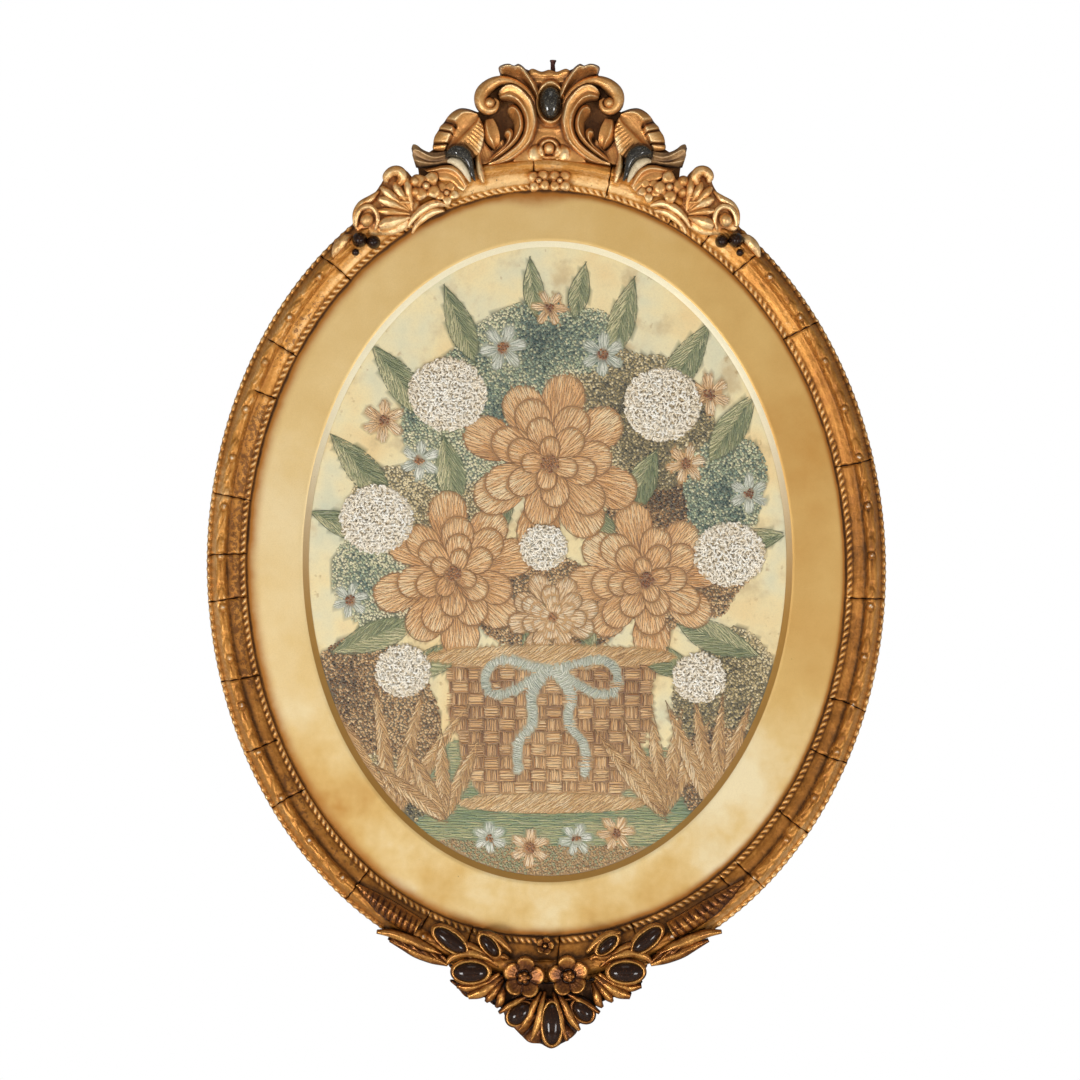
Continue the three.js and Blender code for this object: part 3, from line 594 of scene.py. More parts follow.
# Crest board. A flat sawn board behind the crest's carving, gilded on its face in a darker copy of the
# gold, which is painted shade from the carving over it. The imported plate has its shape.
crest_gold = gilding("crest_gold", "#6A3C18 #BE7E44 #DCA05A #F6D29A", metal=0.6, gloss=0.36)
# A darker copy of the gilding: painted shade, for the boards behind the carving.
shadow_gold = gilding("shadow_gold", "#2A180C #5A361A #8A5A2C #B8803E", metal=0.45, gloss=0.5)


def dress(node, finish):
    """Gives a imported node, whose shape is right as it is, its procedural material."""
    for material_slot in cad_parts[node].material_slots:
        material_slot.material = finish.material


dress("crest_plate", shadow_gold)


# Crest panel. A waisted panel between two fronds: a raised ring for the stone, a bell below it
# for the bead with two small lobes, and shallow folds under its broken top.
AXIS_IN_PHOTO = 549.2
SEAT = 10.3


def from_photo(table, side=-1):
    """Rows of photo x, photo y and more, as x, z in mm and more; side 1 mirrors at the crest's axis."""
    rows = np.array(table, float)
    across = AXIS_IN_PHOTO + (rows[:, 0] - AXIS_IN_PHOTO) * (-side)
    rows[:, 0] = (across - OVAL_IN_PHOTO[0]) * MM_PER_PIXEL
    rows[:, 1] = (OVAL_IN_PHOTO[1] - rows[:, 1]) * MM_PER_PIXEL
    return rows


def through(points, count, closed=False):
    """count places on a smooth curve through the points: each is a Catmull-Rom blend of the four
    nearest points, spaced evenly by length along straight joins."""
    p = np.asarray(points, float)
    if closed:
        p = np.concatenate([p, p[:1]])
        ends = np.concatenate([p[-2:-1], p, p[1:2]])
    else:
        ends = np.concatenate([2 * p[:1] - p[1:2], p, 2 * p[-1:] - p[-2:-1]])
    steps = np.hypot(*np.diff(p[:, :2], axis=0).T)
    length = np.concatenate([[0], np.cumsum(steps)])
    t = np.interp(np.linspace(0, length[-1], count), length, np.arange(len(p)))
    k = np.minimum(t.astype(int), len(p) - 2)
    f = (t - k)[:, None]
    a, b, c, d = ends[k], ends[k + 1], ends[k + 2], ends[k + 3]
    return 0.5 * (
        2 * b + (c - a) * f + (2 * a - 5 * b + 4 * c - d) * f**2 + (3 * b - a - 3 * c + d) * f**3
    )


def lump(outline, middle, front, back=SEAT, shares=34, turns=160, wall=0.25):
    """Grid of a lump with a flat back. Its points lie on rays from the middle to a closed smooth
    outline; front gives the height by x, z, the share of the way out and the turn."""
    edge = through(np.asarray(outline)[:, :2], turns + 1, closed=True)[:-1]
    share = np.linspace(0, 1, shares) ** 0.85
    x = middle[0] + (edge[None, :, 0] - middle[0]) * share[:, None]
    z = middle[1] + (edge[None, :, 1] - middle[1]) * share[:, None]
    turn = np.arange(turns)[None] / turns * np.ones_like(x)
    height = front(x, z, share[:, None] * np.ones_like(x), turn)
    height = np.maximum(height, back + wall)
    height[0] = height[0].mean()
    top = np.stack([x, height, z], axis=-1)
    foot = top[-1:].copy()
    foot[..., 1] = back
    pole = np.empty_like(foot)
    pole[:] = (middle[0], back, middle[1])
    return np.concatenate([top, foot, pole])


def ellipse_share(x, z, centre, half_x, half_z, tilt=0.0):
    """Distance from an ellipse's centre as a share of its edge's, with its axes turned by tilt."""
    c, s = np.cos(np.radians(tilt)), np.sin(np.radians(tilt))
    dx, dz = x - centre[0], z - centre[1]
    return np.hypot((dx * c + dz * s) / half_x, (dz * c - dx * s) / half_z)


PANEL = [
    (549, 70), (557, 72), (566, 69.5), (571, 74), (568, 84), (568, 94), (569, 104), (566.6, 116),
    (565.6, 128), (568, 140), (574, 150), (582, 158), (585, 165.4), (549.2, 168),
]
PANEL_MIDDLE = (1.7, 268.0)
STONE = (2.5, 278.4)
BEAD = (1.6, 250.8)


def panel_front(x, z, share, turn):
    """Height of the panel: slow waves, edges that rise as a power of the distance from its axis,
    rings and folds as bells, and lobes as (1 - r squared) to the power of a half."""
    off = np.abs(x - PANEL_MIDDLE[0])
    height = 14.4 + 0.25 * smooth_wave(31, z + 0.3 * x, 3.1)
    height += 3.2 * np.clip((off - 3.2) / 8.0, 0, 1) ** 1.6 * np.clip((272 - z) / 12, 0, 1)
    height -= 1.6 * np.clip((share - 0.93) / 0.07, 0, 1)
    to_stone = ellipse_share(x, z, STONE, 6.9, 9.8)
    height += 3.0 * bell(to_stone - 1.20, 0.13) - 0.8 * bell(to_stone - 1.48, 0.12)
    bowl = np.clip((z - 288) / 10, 0, 1)
    folds = 0.8 * bell(z - 291.0, 0.7) - 0.6 * bell(z - 293.4, 0.7)
    height += bowl * (1.2 + 0.35 * np.clip(off - 2.0, 0, 9)) + folds
    to_bead = np.hypot(x - BEAD[0], z - BEAD[1])
    height += 2.6 * bell(to_bead - 4.9, 1.2) * np.clip((z - BEAD[1] + 3.0) / 1.5, 0, 1)
    height -= 1.2 * bell(to_bead - 6.8, 0.7)
    height += 3.0 * np.clip(1 - np.hypot((off - 7.6) / 5.0, (z - 247.6) / 5.4) ** 2, 0, 1) ** 0.5
    height += 2.6 * np.clip(1 - np.hypot(off / 5.4, (z - 243.6) / 3.4) ** 2, 0, 1) ** 0.5
    height += 1.0 * bell(z - 262.4, 0.8) * np.clip(1 - off / 9, 0, 1)
    return height


def both_sides(table):
    """An outline given for its right half from the top down, closed by its mirror image."""
    right = from_photo(table)
    left = from_photo(table[1:-1], side=1)[::-1]
    return np.concatenate([right, left])


carve("panel", [lump(both_sides(PANEL), PANEL_MIDDLE, panel_front, shares=48, turns=190)],
      crest_gold, "gilding", "crest_panel")


# Stones. Low glossy domes of black paste with fine grey flecks. The crest's stands in the ring
# of its panel, over a gilded bead.
def stone_black(name, codes, gloss):
    """Black paste: a dark and a lighter black by cloudy noise, under fine flecks of a third."""
    dark, light, fleck = (color(code) for code in codes.split())
    finish = Finish(name, roughness=0.1, ior=1.55, specular_ior_level=gloss)
    speck = finish.squeeze(finish.noise(0.7, detail=2.0), 0.56, 0.74)
    cloud = finish.noise(5.0, detail=3.0)
    deep = finish.blend(dark, light, cloud)
    finish.set(
        Base_Color=finish.blend(deep, fleck, speck * 0.55),
        Roughness=0.08 + speck * 0.14 + cloud * 0.06,
        Normal=finish.bump(cloud, 0.12, 0.3),
    )
    return finish


crest_black = stone_black("crest_black", "#14120F #38332B #B0A890", 0.5)
foot_black = stone_black("foot_black", "#140A05 #301A0E #6A3E20", 0.24)


def ellipse_places(x, z, half_x, half_z, tilt, a):
    """Places on an ellipse by the angle a along it, with its axes turned by tilt degrees."""
    c, s = np.cos(np.radians(tilt)), np.sin(np.radians(tilt))
    ex, ez = half_x * np.cos(a), half_z * np.sin(a)
    return x + ex * c - ez * s, z + ex * s + ez * c


def all_round(count):
    """count angles of a full turn, evenly spaced from 0."""
    return np.linspace(0, 2 * np.pi, count, endpoint=False)


def dome(x, z, half_x, half_z, tilt, foot, crown, shares=16, turns=48):
    """Grid of a dome on an ellipse: its height is the square root of 1 - r squared."""
    outline = np.stack(ellipse_places(x, z, half_x, half_z, tilt, all_round(turns)), axis=-1)

    def front(px, pz, share, turn):
        return foot + (crown - foot) * np.clip(1 - share**2, 0, 1) ** 0.5

    return lump(outline, (x, z), front, back=foot - 0.6, shares=shares, turns=turns, wall=0.02)


def ring(x, z, half_x, half_z, tilt, height, thick):
    """Grid of a round-sectioned rim on an ellipse: a circle of radius thick carried along it."""
    a, b = all_round(60)[:, None], all_round(8)[None]
    grow = thick * np.cos(b)
    x, z = ellipse_places(x, z, half_x + grow, half_z + grow, tilt, a)
    return np.stack([x, height + thick * np.sin(b) + 0 * a, z], -1)


make("stone", [dome(*STONE, 6.7, 9.6, 0, 15.6, 21.4)], crest_black, "black_stone", "crest_stone")
carve("bead", [dome(*BEAD, 3.5, 3.7, 0, 14.6, 19.2)], crest_gold, "gilding", "crest_pearl")


# Iron pin. A rusty round pin with a burred head at the top of the crest, which held a finial.
# Its section is carried round its axis.
iron = Finish("rusty_iron", metallic=0.3)
rust = iron.noise(1.2, detail=5.0, roughness=0.7)
iron.set(
    Base_Color=iron.ramp(rust, (0.3, color("#2E1C18")), (0.5, color("#6B4038")), (0.72, color("#9A6A5A"))),
    Roughness=0.6 + rust * 0.3,
    Normal=iron.bump(rust, 0.4, 0.9),
)
pin_low, pin_high = (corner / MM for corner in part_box("crest_pin"))
PIN_X = (pin_low.x + pin_high.x) / 2
PIN_HEIGHT = -(pin_low.y + pin_high.y) / 2
# Radius in mm, and share of the pin's height.
PIN_SECTION = [
    (0.0, 0.0), (1.5, 0.05), (1.45, 0.3), (1.3, 0.6), (1.5, 0.8), (2.0, 0.93), (1.8, 1.0), (0.0, 1.0),
]
turn = all_round(20)[None]
radius, rise = (column[:, None] for column in np.transpose(PIN_SECTION))
uneven = 1 + 0.08 * np.sin(3 * turn + 9 * rise)
pin = np.stack([
    PIN_X + radius * uneven * np.cos(turn),
    PIN_HEIGHT + radius * uneven * np.sin(turn),
    pin_low.z + (pin_high.z - pin_low.z) * rise + 0 * turn,
], axis=-1)
make("pin", [pin], iron, "iron", "crest_pin")


# Scrolls, lips and fronds of the crest, one of each on both sides. Carved bands: the scroll coils
# round an eye, the lip rolls over it, and the frond is a leaf of three lobes with fluted veins.
# Columns: photo x, photo y, then width and crest height for a band, or height for a vein.
SCROLL = [
    (536, 113, 1.2, 15), (533.5, 102, 2.6, 17.5), (526.5, 91.5, 3.6, 19.5), (515, 84, 4.4, 21),
    (502, 81.5, 5.6, 22), (491, 85.5, 7.6, 23), (482.6, 94, 8.6, 24), (481.6, 104, 8.0, 24),
    (487, 111, 6.0, 23.4), (494.5, 110.5, 4.2, 22.4), (497.6, 104, 2.6, 21.2), (494, 99.5, 1.2, 20.4),
]
LIP = [
    [(500, 74.5, 12), (498.6, 68, 14), (503, 65, 15), (509, 64.2, 15), (514, 66, 15), (518.5, 64.3, 15),
     (524, 68, 16), (530, 75.5, 17), (535.5, 84, 17), (539, 92, 15), (541, 100, 13)],
    [(501, 72.8, 21), (501.5, 70, 24), (505, 68.2, 25.5), (510, 67.8, 26), (514.5, 69.2, 25.4),
     (519, 68.6, 26), (523.5, 72.5, 25.5), (528.5, 79.5, 24), (533, 87.5, 22), (536.5, 95, 19),
     (539, 102, 15)],
    [(502, 74.8, 19), (505, 74.2, 18), (508, 74.4, 17.6), (512, 75.2, 17.4), (516, 76.6, 17.4),
     (520, 79, 17), (524, 82.8, 16.6), (528, 88, 16.4), (531.5, 94, 15.6), (534.5, 100, 15),
     (538, 105, 13)],
    [(502, 76.8, 16), (506, 77.8, 16), (510, 79, 16), (514, 80.8, 16), (518, 83, 16), (522, 86, 16),
     (526, 89.8, 15.6), (529.5, 94, 15), (532.5, 99, 14.6), (535, 104, 14), (538, 108, 12)],
]
FROND = [
    [(497, 95, 14), (500, 89.5, 16), (507, 84.8, 17), (514, 84.9, 17), (521.5, 88.6, 17), (528, 94.6, 17),
     (533, 101.6, 17), (536.2, 112, 17), (537.8, 122.5, 16), (536.4, 132, 16), (532.4, 144, 16),
     (524.6, 153, 15), (514, 161.4, 14), (503, 165.4, 13), (488, 167.6, 12)],
    [(499, 95, 19), (501, 91.5, 22), (506.5, 87.4, 24), (512.8, 87.2, 25), (519.8, 90.8, 25.5),
     (525.6, 96.8, 25.5), (530.4, 103.2, 25.5), (533.2, 112.9, 25), (534.8, 122.6, 25), (533.2, 131, 24.5),
     (529.2, 142.2, 24), (521.8, 150.6, 23), (512, 158.6, 21.5), (502.3, 162.8, 20), (488.5, 165.6, 18)],
    [(499.4, 97, 19), (502.4, 95, 21), (508.2, 93.6, 22.6), (515, 95.6, 23.4), (520.6, 100, 23.6),
     (525, 106, 23.8), (528.4, 113, 24), (530, 120, 24), (530.4, 126.5, 23.6), (529, 134, 23.2),
     (525, 142.6, 22.8), (518.6, 150, 22), (509.6, 156.4, 21), (499, 162.3, 19.4), (488.5, 165, 17.6)],
    [(499.8, 99, 20), (503, 98, 22.4), (508.4, 97.4, 24), (514.8, 99.4, 25), (519.6, 103.4, 25.2),
     (523.4, 108.8, 25.3), (526.4, 115, 25.3), (527.8, 121.4, 25.2), (528, 127.5, 25), (526.4, 134.6, 24.6),
     (522.4, 142.4, 24), (516.2, 149, 23.2), (508, 155, 22), (498.6, 161, 20), (488.5, 164.4, 17.6)],
    [(500, 101, 15), (503.6, 101.6, 17), (508, 101.6, 18.4), (513, 103.4, 19.4), (517, 107, 20),
     (520.6, 112, 20.4), (523, 117.4, 20.6), (524.4, 123, 20.6), (524.2, 128.6, 20.2), (522.6, 135, 20),
     (518.4, 142, 19.4), (512, 148.6, 18.6), (504.4, 154.4, 17.6), (496.4, 159.8, 16.2), (488, 163.4, 14)],
]
MIDDLE_LEAF = [
    [(507, 113, 15), (507.6, 108.6, 18), (511.4, 105.8, 20), (516, 107, 21), (519.8, 111.6, 21.6),
     (522.4, 118, 22), (523.4, 125, 22), (522.2, 133, 21.6), (517.4, 142, 20.6), (509.6, 150, 19.4),
     (499.6, 157.4, 17.6), (489, 163, 15)],
    [(508, 112.6, 19), (509.4, 110, 21.6), (512.4, 109, 23.4), (515.6, 110.6, 24.2), (518.2, 114.4, 24.6),
     (520, 120, 24.8), (520.6, 126, 24.6), (519, 133, 24), (514.4, 141, 22.8), (507, 148.4, 21.2),
     (498, 155.6, 19.2), (489, 162, 16)],
    [(508.6, 114, 18), (510.6, 113, 19.4), (513.2, 113.4, 20.4), (515.4, 115.8, 21), (516.8, 119.8, 21.4),
     (517.4, 124.6, 21.4), (516.8, 129.6, 21), (514.8, 135, 20.4), (510.4, 141.6, 19.4),
     (503.8, 148, 18.4), (496, 154.4, 17.2), (488.6, 160.8, 15)],
    [(508.4, 116.6, 14), (509.6, 118.2, 15), (511.4, 120, 16), (513, 122.6, 16.6), (513.6, 125.8, 16.8),
     (513.2, 129, 16.6), (511.6, 132.4, 16.2), (509, 136.6, 15.6), (505, 142, 15), (500, 147.6, 14.6),
     (494, 153.4, 14), (488.4, 159.4, 13)],
]
SMALL_LEAF = [
    [(504, 136, 14), (505, 131.6, 17), (508.2, 129.4, 19), (511.6, 130.6, 20), (513, 134.6, 20.4),
     (512, 140, 20), (508, 146.4, 18.8), (501.6, 152.6, 17.2), (494.6, 157.6, 15.6), (488, 161.4, 14)],
    [(505, 136.2, 18), (506.2, 133.4, 21), (508.4, 132.6, 22.4), (510.2, 134.2, 22.8),
     (510.4, 137.6, 22.6), (508.8, 142, 21.6), (505, 147.4, 20), (499.6, 152.4, 18.4),
     (493.6, 156.8, 16.6), (488, 160.4, 14.6)],
    [(505, 139, 14), (505.6, 138, 16), (506.4, 138.6, 17), (506.8, 140.4, 17.2), (506.4, 142.6, 17),
     (505, 145.4, 16.6), (502, 149, 16), (497.8, 152.6, 15.4), (492.8, 156.2, 14.4), (488, 159.4, 13)],
]


def band(rows, back=SEAT, power=0.5, along=80, across=17, rim=2.0, side_shape=None):
    """Grid of a rounded band: columns of each row are x, z, width and crest. Across it the height
    falls from the crest as (1 - v squared) to a power, down to rim below the crest's share."""
    path = through(rows, along)
    centre = path[:, :2]
    ahead = np.gradient(centre, axis=0)
    ahead = ahead / np.maximum(np.hypot(*ahead.T), 1e-9)[:, None]
    v = np.sin(np.linspace(-1, 1, across) * np.pi / 2)[None]
    half = np.maximum(path[:, 2:3], 0.1) / 2
    x = centre[:, :1] - ahead[:, 1:] * v * half
    z = centre[:, 1:] + ahead[:, :1] * v * half
    low = np.maximum(path[:, 3:4] - half * rim, back + 0.3)
    shape = np.clip(1 - v**2, 0, 1) ** power
    if side_shape is not None:
        shape = shape + side_shape(np.linspace(0, 1, along)[:, None], v)
    top = np.stack([x, low + (path[:, 3:4] - low) * shape, z], axis=-1)
    return shell(top, back)


def shell(top, back):
    """Closes a carved front: its two long edges drop to the back, and its ends close at a pole."""
    under = top[:, [-1, 0]].copy()
    under[..., 1] = back
    grid = np.concatenate([top, under], axis=1)
    first, last = np.empty_like(grid[:1]), np.empty_like(grid[:1])
    first[:] = grid[0].mean(axis=0)
    last[:] = grid[-1].mean(axis=0)
    return np.concatenate([first, grid, last])


def fluted(veins, swells, back=SEAT, along=90, between=9, notch=None):
    """Grid of a fluted leaf lofted across its veins, each a smooth curve from tip to root.
    Between veins the height is their mean plus a swell, or less a channel, shaped as sin(pi f)."""
    curves = [through(vein, along) for vein in veins]
    columns = []
    f = np.linspace(0, 1, between, endpoint=False)[None]
    u = np.linspace(0, 1, along)[:, None]
    for k, swell in enumerate(swells):
        near, far = curves[k][:, None], curves[k + 1][:, None]
        mixed = near + (far - near) * f[..., None]
        taper = np.sin(np.pi * np.clip(u * 0.96 + 0.02, 0, 1)) ** 0.5
        mixed[..., 2] += swell * np.sin(np.pi * f) * taper
        columns.append(mixed)
    columns.append(curves[-1][:, None])
    top = np.concatenate(columns, axis=1)
    if notch is not None:
        top[..., 2] += notch(u, np.linspace(0, 1, top.shape[1])[None])
    top[..., 2] = np.maximum(top[..., 2], back + 0.3)
    return shell(top[..., [0, 2, 1]], back)


SIDES = ((-1, "left"), (1, "right"))


def pair(name, nodes, grids_for, finish, slot):
    """The left and right piece of a kind, each from its grids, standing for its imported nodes."""
    for side, word in SIDES:
        carve(f"{name}_{word}", grids_for(side), finish, slot, *(f"{node}_{word}" for node in nodes))


EYE = (489.4, 104.4)


def scroll_grids(side):
    """The scroll's band and the dome of the eye that it coils round."""
    x, z = from_photo([EYE], side)[0]
    return [
        band(from_photo(SCROLL, side), power=0.45, along=150, across=21, rim=1.4),
        dome(x, z, 3.5, 3.5, 0, 19.5, 25.2),
    ]


def leaf_for(side, veins, swells, **more):
    """The fluted leaf of one side from the veins drawn on the photo's left."""
    return fluted([from_photo(vein, side) for vein in veins], swells, **more)


pair("scroll", ["scroll", "volute"], scroll_grids, crest_gold, "gilding")
pair("lip", ["lip"], lambda side: [leaf_for(side, LIP, [1.2, -1.4, 0.0])], crest_gold, "gilding")
pair("frond", ["frond"],
     lambda side: [
         leaf_for(side, FROND, [0.0, -0.5, 0.0, 0.2], along=130, between=7),
         leaf_for(side, MIDDLE_LEAF, [0.2, -0.4, 0.2], along=100, between=7),
         leaf_for(side, SMALL_LEAF, [0.2, 0.2], along=70, between=7),
     ], crest_gold, "gilding")


# Wings, inner leaves and bowls of the crest. The wing is a leaf with a thin midrib and three
# square notches in its outer edge; the inner leaf has two facets, over a smooth bowl.
WING = [
    [(477, 112, 13), (468, 109.4, 16), (460, 109.2, 17), (452.5, 113, 17), (446, 119.5, 16),
     (443, 124, 15), (440, 127.5, 15), (437.5, 132.5, 15), (434.8, 137, 15), (433.4, 143, 15),
     (433, 149.4, 15), (437, 152.4, 13)],
    [(477.4, 115, 19), (470, 113.5, 21.5), (463, 114, 22.5), (457.5, 118.5, 22), (454, 123.5, 21),
     (452.6, 128, 20.5), (451.5, 132, 20), (449.6, 136, 19.6), (448, 140, 19), (447, 144, 18.5),
     (446, 148, 18), (444, 152, 16)],
    [(479, 119, 20), (476, 122.4, 19.6), (472.5, 126, 19.2), (469, 129.6, 18.6), (465.5, 133, 18),
     (462, 136.4, 17.6), (459, 139.6, 17.2), (456, 142.4, 17), (453, 145.2, 16.8), (450.4, 147.6, 16.6),
     (448.4, 150, 16.4), (447, 152.4, 15)],
    [(480, 120, 21), (477.4, 123.8, 21), (474, 127.4, 20.6), (470.6, 131, 20), (467, 134.4, 19.6),
     (463.6, 137.8, 19), (460.6, 141, 18.6), (457.6, 143.8, 18.2), (454.6, 146.6, 18), (452, 149, 17.6),
     (450, 151, 17), (449, 153, 15)],
    [(481, 121, 18), (483, 126, 19), (484, 132, 19.6), (484, 138, 19.6), (483, 144, 19.2),
     (481.4, 150, 18.6), (479.4, 155, 18), (476, 158, 17), (470, 158.6, 16), (463, 158, 15.6),
     (456, 157, 15), (451, 155, 14)],
]
INNER_LEAF = [
    [(481, 122.6, 13), (480.6, 129, 14), (482.6, 136.6, 14.5), (487, 144, 14.5), (494.6, 151.6, 13)],
    [(486.5, 120.6, 18), (486.8, 128, 20), (489, 136, 20), (492.3, 142.6, 19), (495.6, 150, 15)],
    [(493, 118.6, 17), (496.8, 126, 18), (499.4, 134, 18), (499.9, 142, 16.5), (497, 151, 13)],
]
BOWL = [
    (481, 139), (486, 146), (493, 152), (499, 148), (503.4, 139.4), (505.4, 148), (503, 156),
    (496, 161.4), (488, 164.6), (480.6, 165), (478.8, 156), (479.6, 147),
]
STEM = [
    (479.6, 150, 1.6, 17), (478.4, 158, 3.4, 19), (478.8, 166, 4.2, 21), (480.6, 174, 4.8, 22),
    (483.4, 183.6, 1.6, 21),
]
BOWL_MIDDLE = (492, 152)


def wing_notches(u, v):
    """Three square steps cut in the outer edge as bells along it, and fine sine ribs across the
    inner part, where v is the share from the outer edge to the inner."""
    outer = np.clip((0.36 - v) / 0.06, 0, 1)
    cuts = bell(u - 0.50, 0.040) + 0.8 * bell(u - 0.655, 0.016) + 0.9 * bell(u - 0.86, 0.016)
    blocks = 0.9 * (np.clip((u - 0.5) * 9, 0, 1))
    inner = np.clip((v - 0.78) / 0.05, 0, 1)
    return outer * (blocks - 4.2 * cuts) + inner * 0.2 * np.sin(u * 88)


def wing_grids(side):
    """The wing, its inner leaf, the bowl, whose height grows as a power of the share out and
    falls at its edge, and the stem."""

    def bowl_front(px, pz, share, turn):
        return 14.0 + 3.4 * share**2.2 * (1 - share**12) + 0.2 * smooth_wave(9, px * 3 + pz, 2.0)

    middle = from_photo([BOWL_MIDDLE], side)[0]
    return [
        leaf_for(side, WING, [0.8, -2.2, 0.0, 0.9], along=120, between=10, notch=wing_notches),
        leaf_for(side, INNER_LEAF, [0.4, -0.8], along=60),
        lump(from_photo(BOWL, side), middle, bowl_front, shares=24, turns=110),
        band(from_photo(STEM, side), power=0.5, along=50, across=11),
    ]


pair("wing", ["wing", "inner_leaf"], wing_grids, crest_gold, "gilding")


# Horns, black knobs and sprays. The horn curls up at the end of the crest; the knob under the
# wing is painted glossy black, worn to white gesso below; the spray leaf lies on the rail.
HORN = [
    [(411.5, 149, 15), (413.3, 145, 16), (417.5, 146, 17), (422, 149.6, 17.5), (428, 152.6, 18),
     (434, 153.6, 18), (441, 153, 18), (448, 151.5, 18), (455, 152, 18)],
    [(413, 151.6, 18), (415.6, 150.4, 19), (420, 152.2, 20), (425, 155, 20.5), (430, 157.4, 20.5),
     (436, 158.6, 20.5), (442, 157.6, 20.5), (448, 156, 20), (454, 156.5, 19)],
    [(412.5, 156, 17.5), (416.4, 157, 17.6), (421, 159, 17.6), (426, 161, 17.6), (431.5, 162, 17.8),
     (437.5, 162, 18), (443, 160.5, 18.2), (448.5, 159.5, 18), (453, 160, 17.5)],
    [(414, 161, 18), (418, 162, 19), (422.5, 163, 19.6), (427, 163.8, 19.6), (432, 164.2, 19.4),
     (437.6, 163.8, 19), (443.4, 162.6, 18.4), (448.6, 162.4, 18), (453, 163, 17)],
    [(416, 167.4, 13), (419.5, 168, 14), (424, 167.6, 15), (429, 167, 15.5), (434, 166.4, 15.5),
     (439, 166, 15.5), (444, 165.4, 15), (449, 165.2, 15), (453, 165.6, 14)],
]
KNOB = [
    (446, 158, 1.6, 20), (450.5, 154.6, 5, 23.5), (457, 152.8, 8.2, 25.4), (464, 155, 8.4, 25.2),
    (468.4, 161, 6, 24.4), (471, 168, 3.6, 23.6), (472.6, 175, 2.8, 23.2), (475.4, 182, 1.0, 22),
]
GESSO = [
    (447.5, 162.6, 1.4, 20.4), (452.5, 162, 4.0, 22.4), (458.5, 164.4, 5.0, 22.8),
    (463.5, 169.4, 4.4, 22.6), (467.4, 175.6, 3.6, 22.2), (470.5, 183, 1.2, 21.4),
]
SPRAY = [
    [(424, 170, 16), (434, 168, 17.5), (443, 166.2, 18.4), (452, 166.4, 18.8), (459.6, 170.6, 18.6),
     (464.6, 177, 18.4), (468, 186, 18)],
    [(427, 172.4, 19), (436, 171, 20.6), (445, 169.6, 21.6), (452.6, 171, 21.8), (458.6, 175.6, 21.4),
     (462.6, 181.4, 20.8), (466.4, 188, 20)],
    [(431, 175, 18), (438, 175.4, 18.8), (445, 175.4, 19), (451, 177, 19), (456, 180.6, 19),
     (460, 185.4, 19), (465, 190, 19)],
    [(436, 178.6, 18), (441.4, 181.4, 18.6), (446.6, 182, 18.8), (451, 183, 18.6), (455, 186, 18.6),
     (459, 189.6, 18.6), (463.4, 192, 18.6)],
]
gesso_white = gilding("gesso_white", "#3E3024 #A88A62 #DCC8A2 #F2E6CE", metal=0.15, gloss=0.5)
horn_gold = gilding("horn_gold", "#2A1D18 #74563C #B08858 #E2C090", metal=0.45, gloss=0.45)
pair("horn", ["horn"], lambda side: [leaf_for(side, HORN, [-0.3, -0.6, 0.0, 0.5], along=70)],
     horn_gold, "gilding")
pair("knob", ["knob"],
     lambda side: [band(from_photo(KNOB, side), along=70, across=15, back=17.0, rim=1.0)],
     crest_black, "black_stone")
pair("spray", ["spray"],
     lambda side: [leaf_for(side, SPRAY, [0.5, -1.2, 0.6], along=70, back=15.0)],
     crest_gold, "gilding")
for side, word in SIDES:
    streak = band(from_photo(GESSO, side), along=50, across=11, back=17.0, rim=0.8)
    make(f"gesso_{word}", [streak], gesso_white, "gilding", f"knob_{word}")


# Blossoms. Small cast flowers of round petals on a bead, glued on the rail: two under the crest
# and two at each side of it.
PETAL = 0.50
PETAL_OUT = 0.56
EYE_SHARE = 0.22


def blossom(x, z, radius, petals, foot, rise, turn_by):
    """Grid of a flower: round petals, each a dome some way out from the middle, dished by a bell,
    and a domed eye, the highest of them taken at each place."""
    a = all_round(115)
    phase = (a * petals / (2 * np.pi) - turn_by) % 1 - 0.5
    reach = radius * (0.80 + 0.20 * np.cos(2 * np.pi * phase))
    outline = np.stack([x + reach * np.cos(a), z + reach * np.sin(a)], axis=-1)

    def front(px, pz, share, turn):
        height = foot + 0.12 * rise * (1 - share) + 0 * px
        for k in range(petals):
            b = 2 * np.pi * (k + 0.5 + turn_by) / petals
            out_x, out_z = PETAL_OUT * radius * np.cos(b), PETAL_OUT * radius * np.sin(b)
            r = np.hypot(px - x - out_x, pz - z - out_z)
            swell = np.clip(1 - (r / (PETAL * radius)) ** 2, 0, 1)
            cup = bell(r, PETAL * radius * 0.42)
            height = np.maximum(height, foot + rise * (0.72 * swell**0.5 - 0.10 * cup))
        r = np.hypot(px - x, pz - z) / (EYE_SHARE * radius)
        eye = 0.55 + 0.45 * np.clip(1 - r**2, 0, 1) ** 0.5
        return np.maximum(height, foot + rise * eye * (r < 1))

    return lump(outline, (x, z), front, back=foot - 2.0, shares=23, turns=115)


# Columns: piece and node, photo x, photo y, radius in mm, petals, foot, rise and turn.
BLOSSOMS = [
    ("top_flower_left", 538.8, 181, 7.6, 4, 12.6, 7.4, 0.1),
    ("top_flower_right", 559.8, 181, 7.6, 4, 12.6, 7.4, 0.0),
    ("blossom_left_outer", 426.6, 187.0, 10.0, 4, 17.0, 7.8, 0.10),
    ("blossom_left_inner", 447.0, 193.6, 7.8, 5, 15.4, 7.0, 0.30),
    ("blossom_right_inner", 649.0, 190.5, 7.8, 5, 15.4, 7.0, 0.20),
    ("blossom_right_outer", 669.0, 188.0, 10.0, 4, 17.0, 7.8, 0.55),
]
for name, photo_x, photo_y, radius, petals, foot, rise, turn_by in BLOSSOMS:
    x, z = from_photo([(photo_x, photo_y)])[0]
    flower = blossom(x, z, radius, petals, foot, rise, turn_by)
    carve(f"{name}_petals", [flower], crest_gold, "gilding", name)


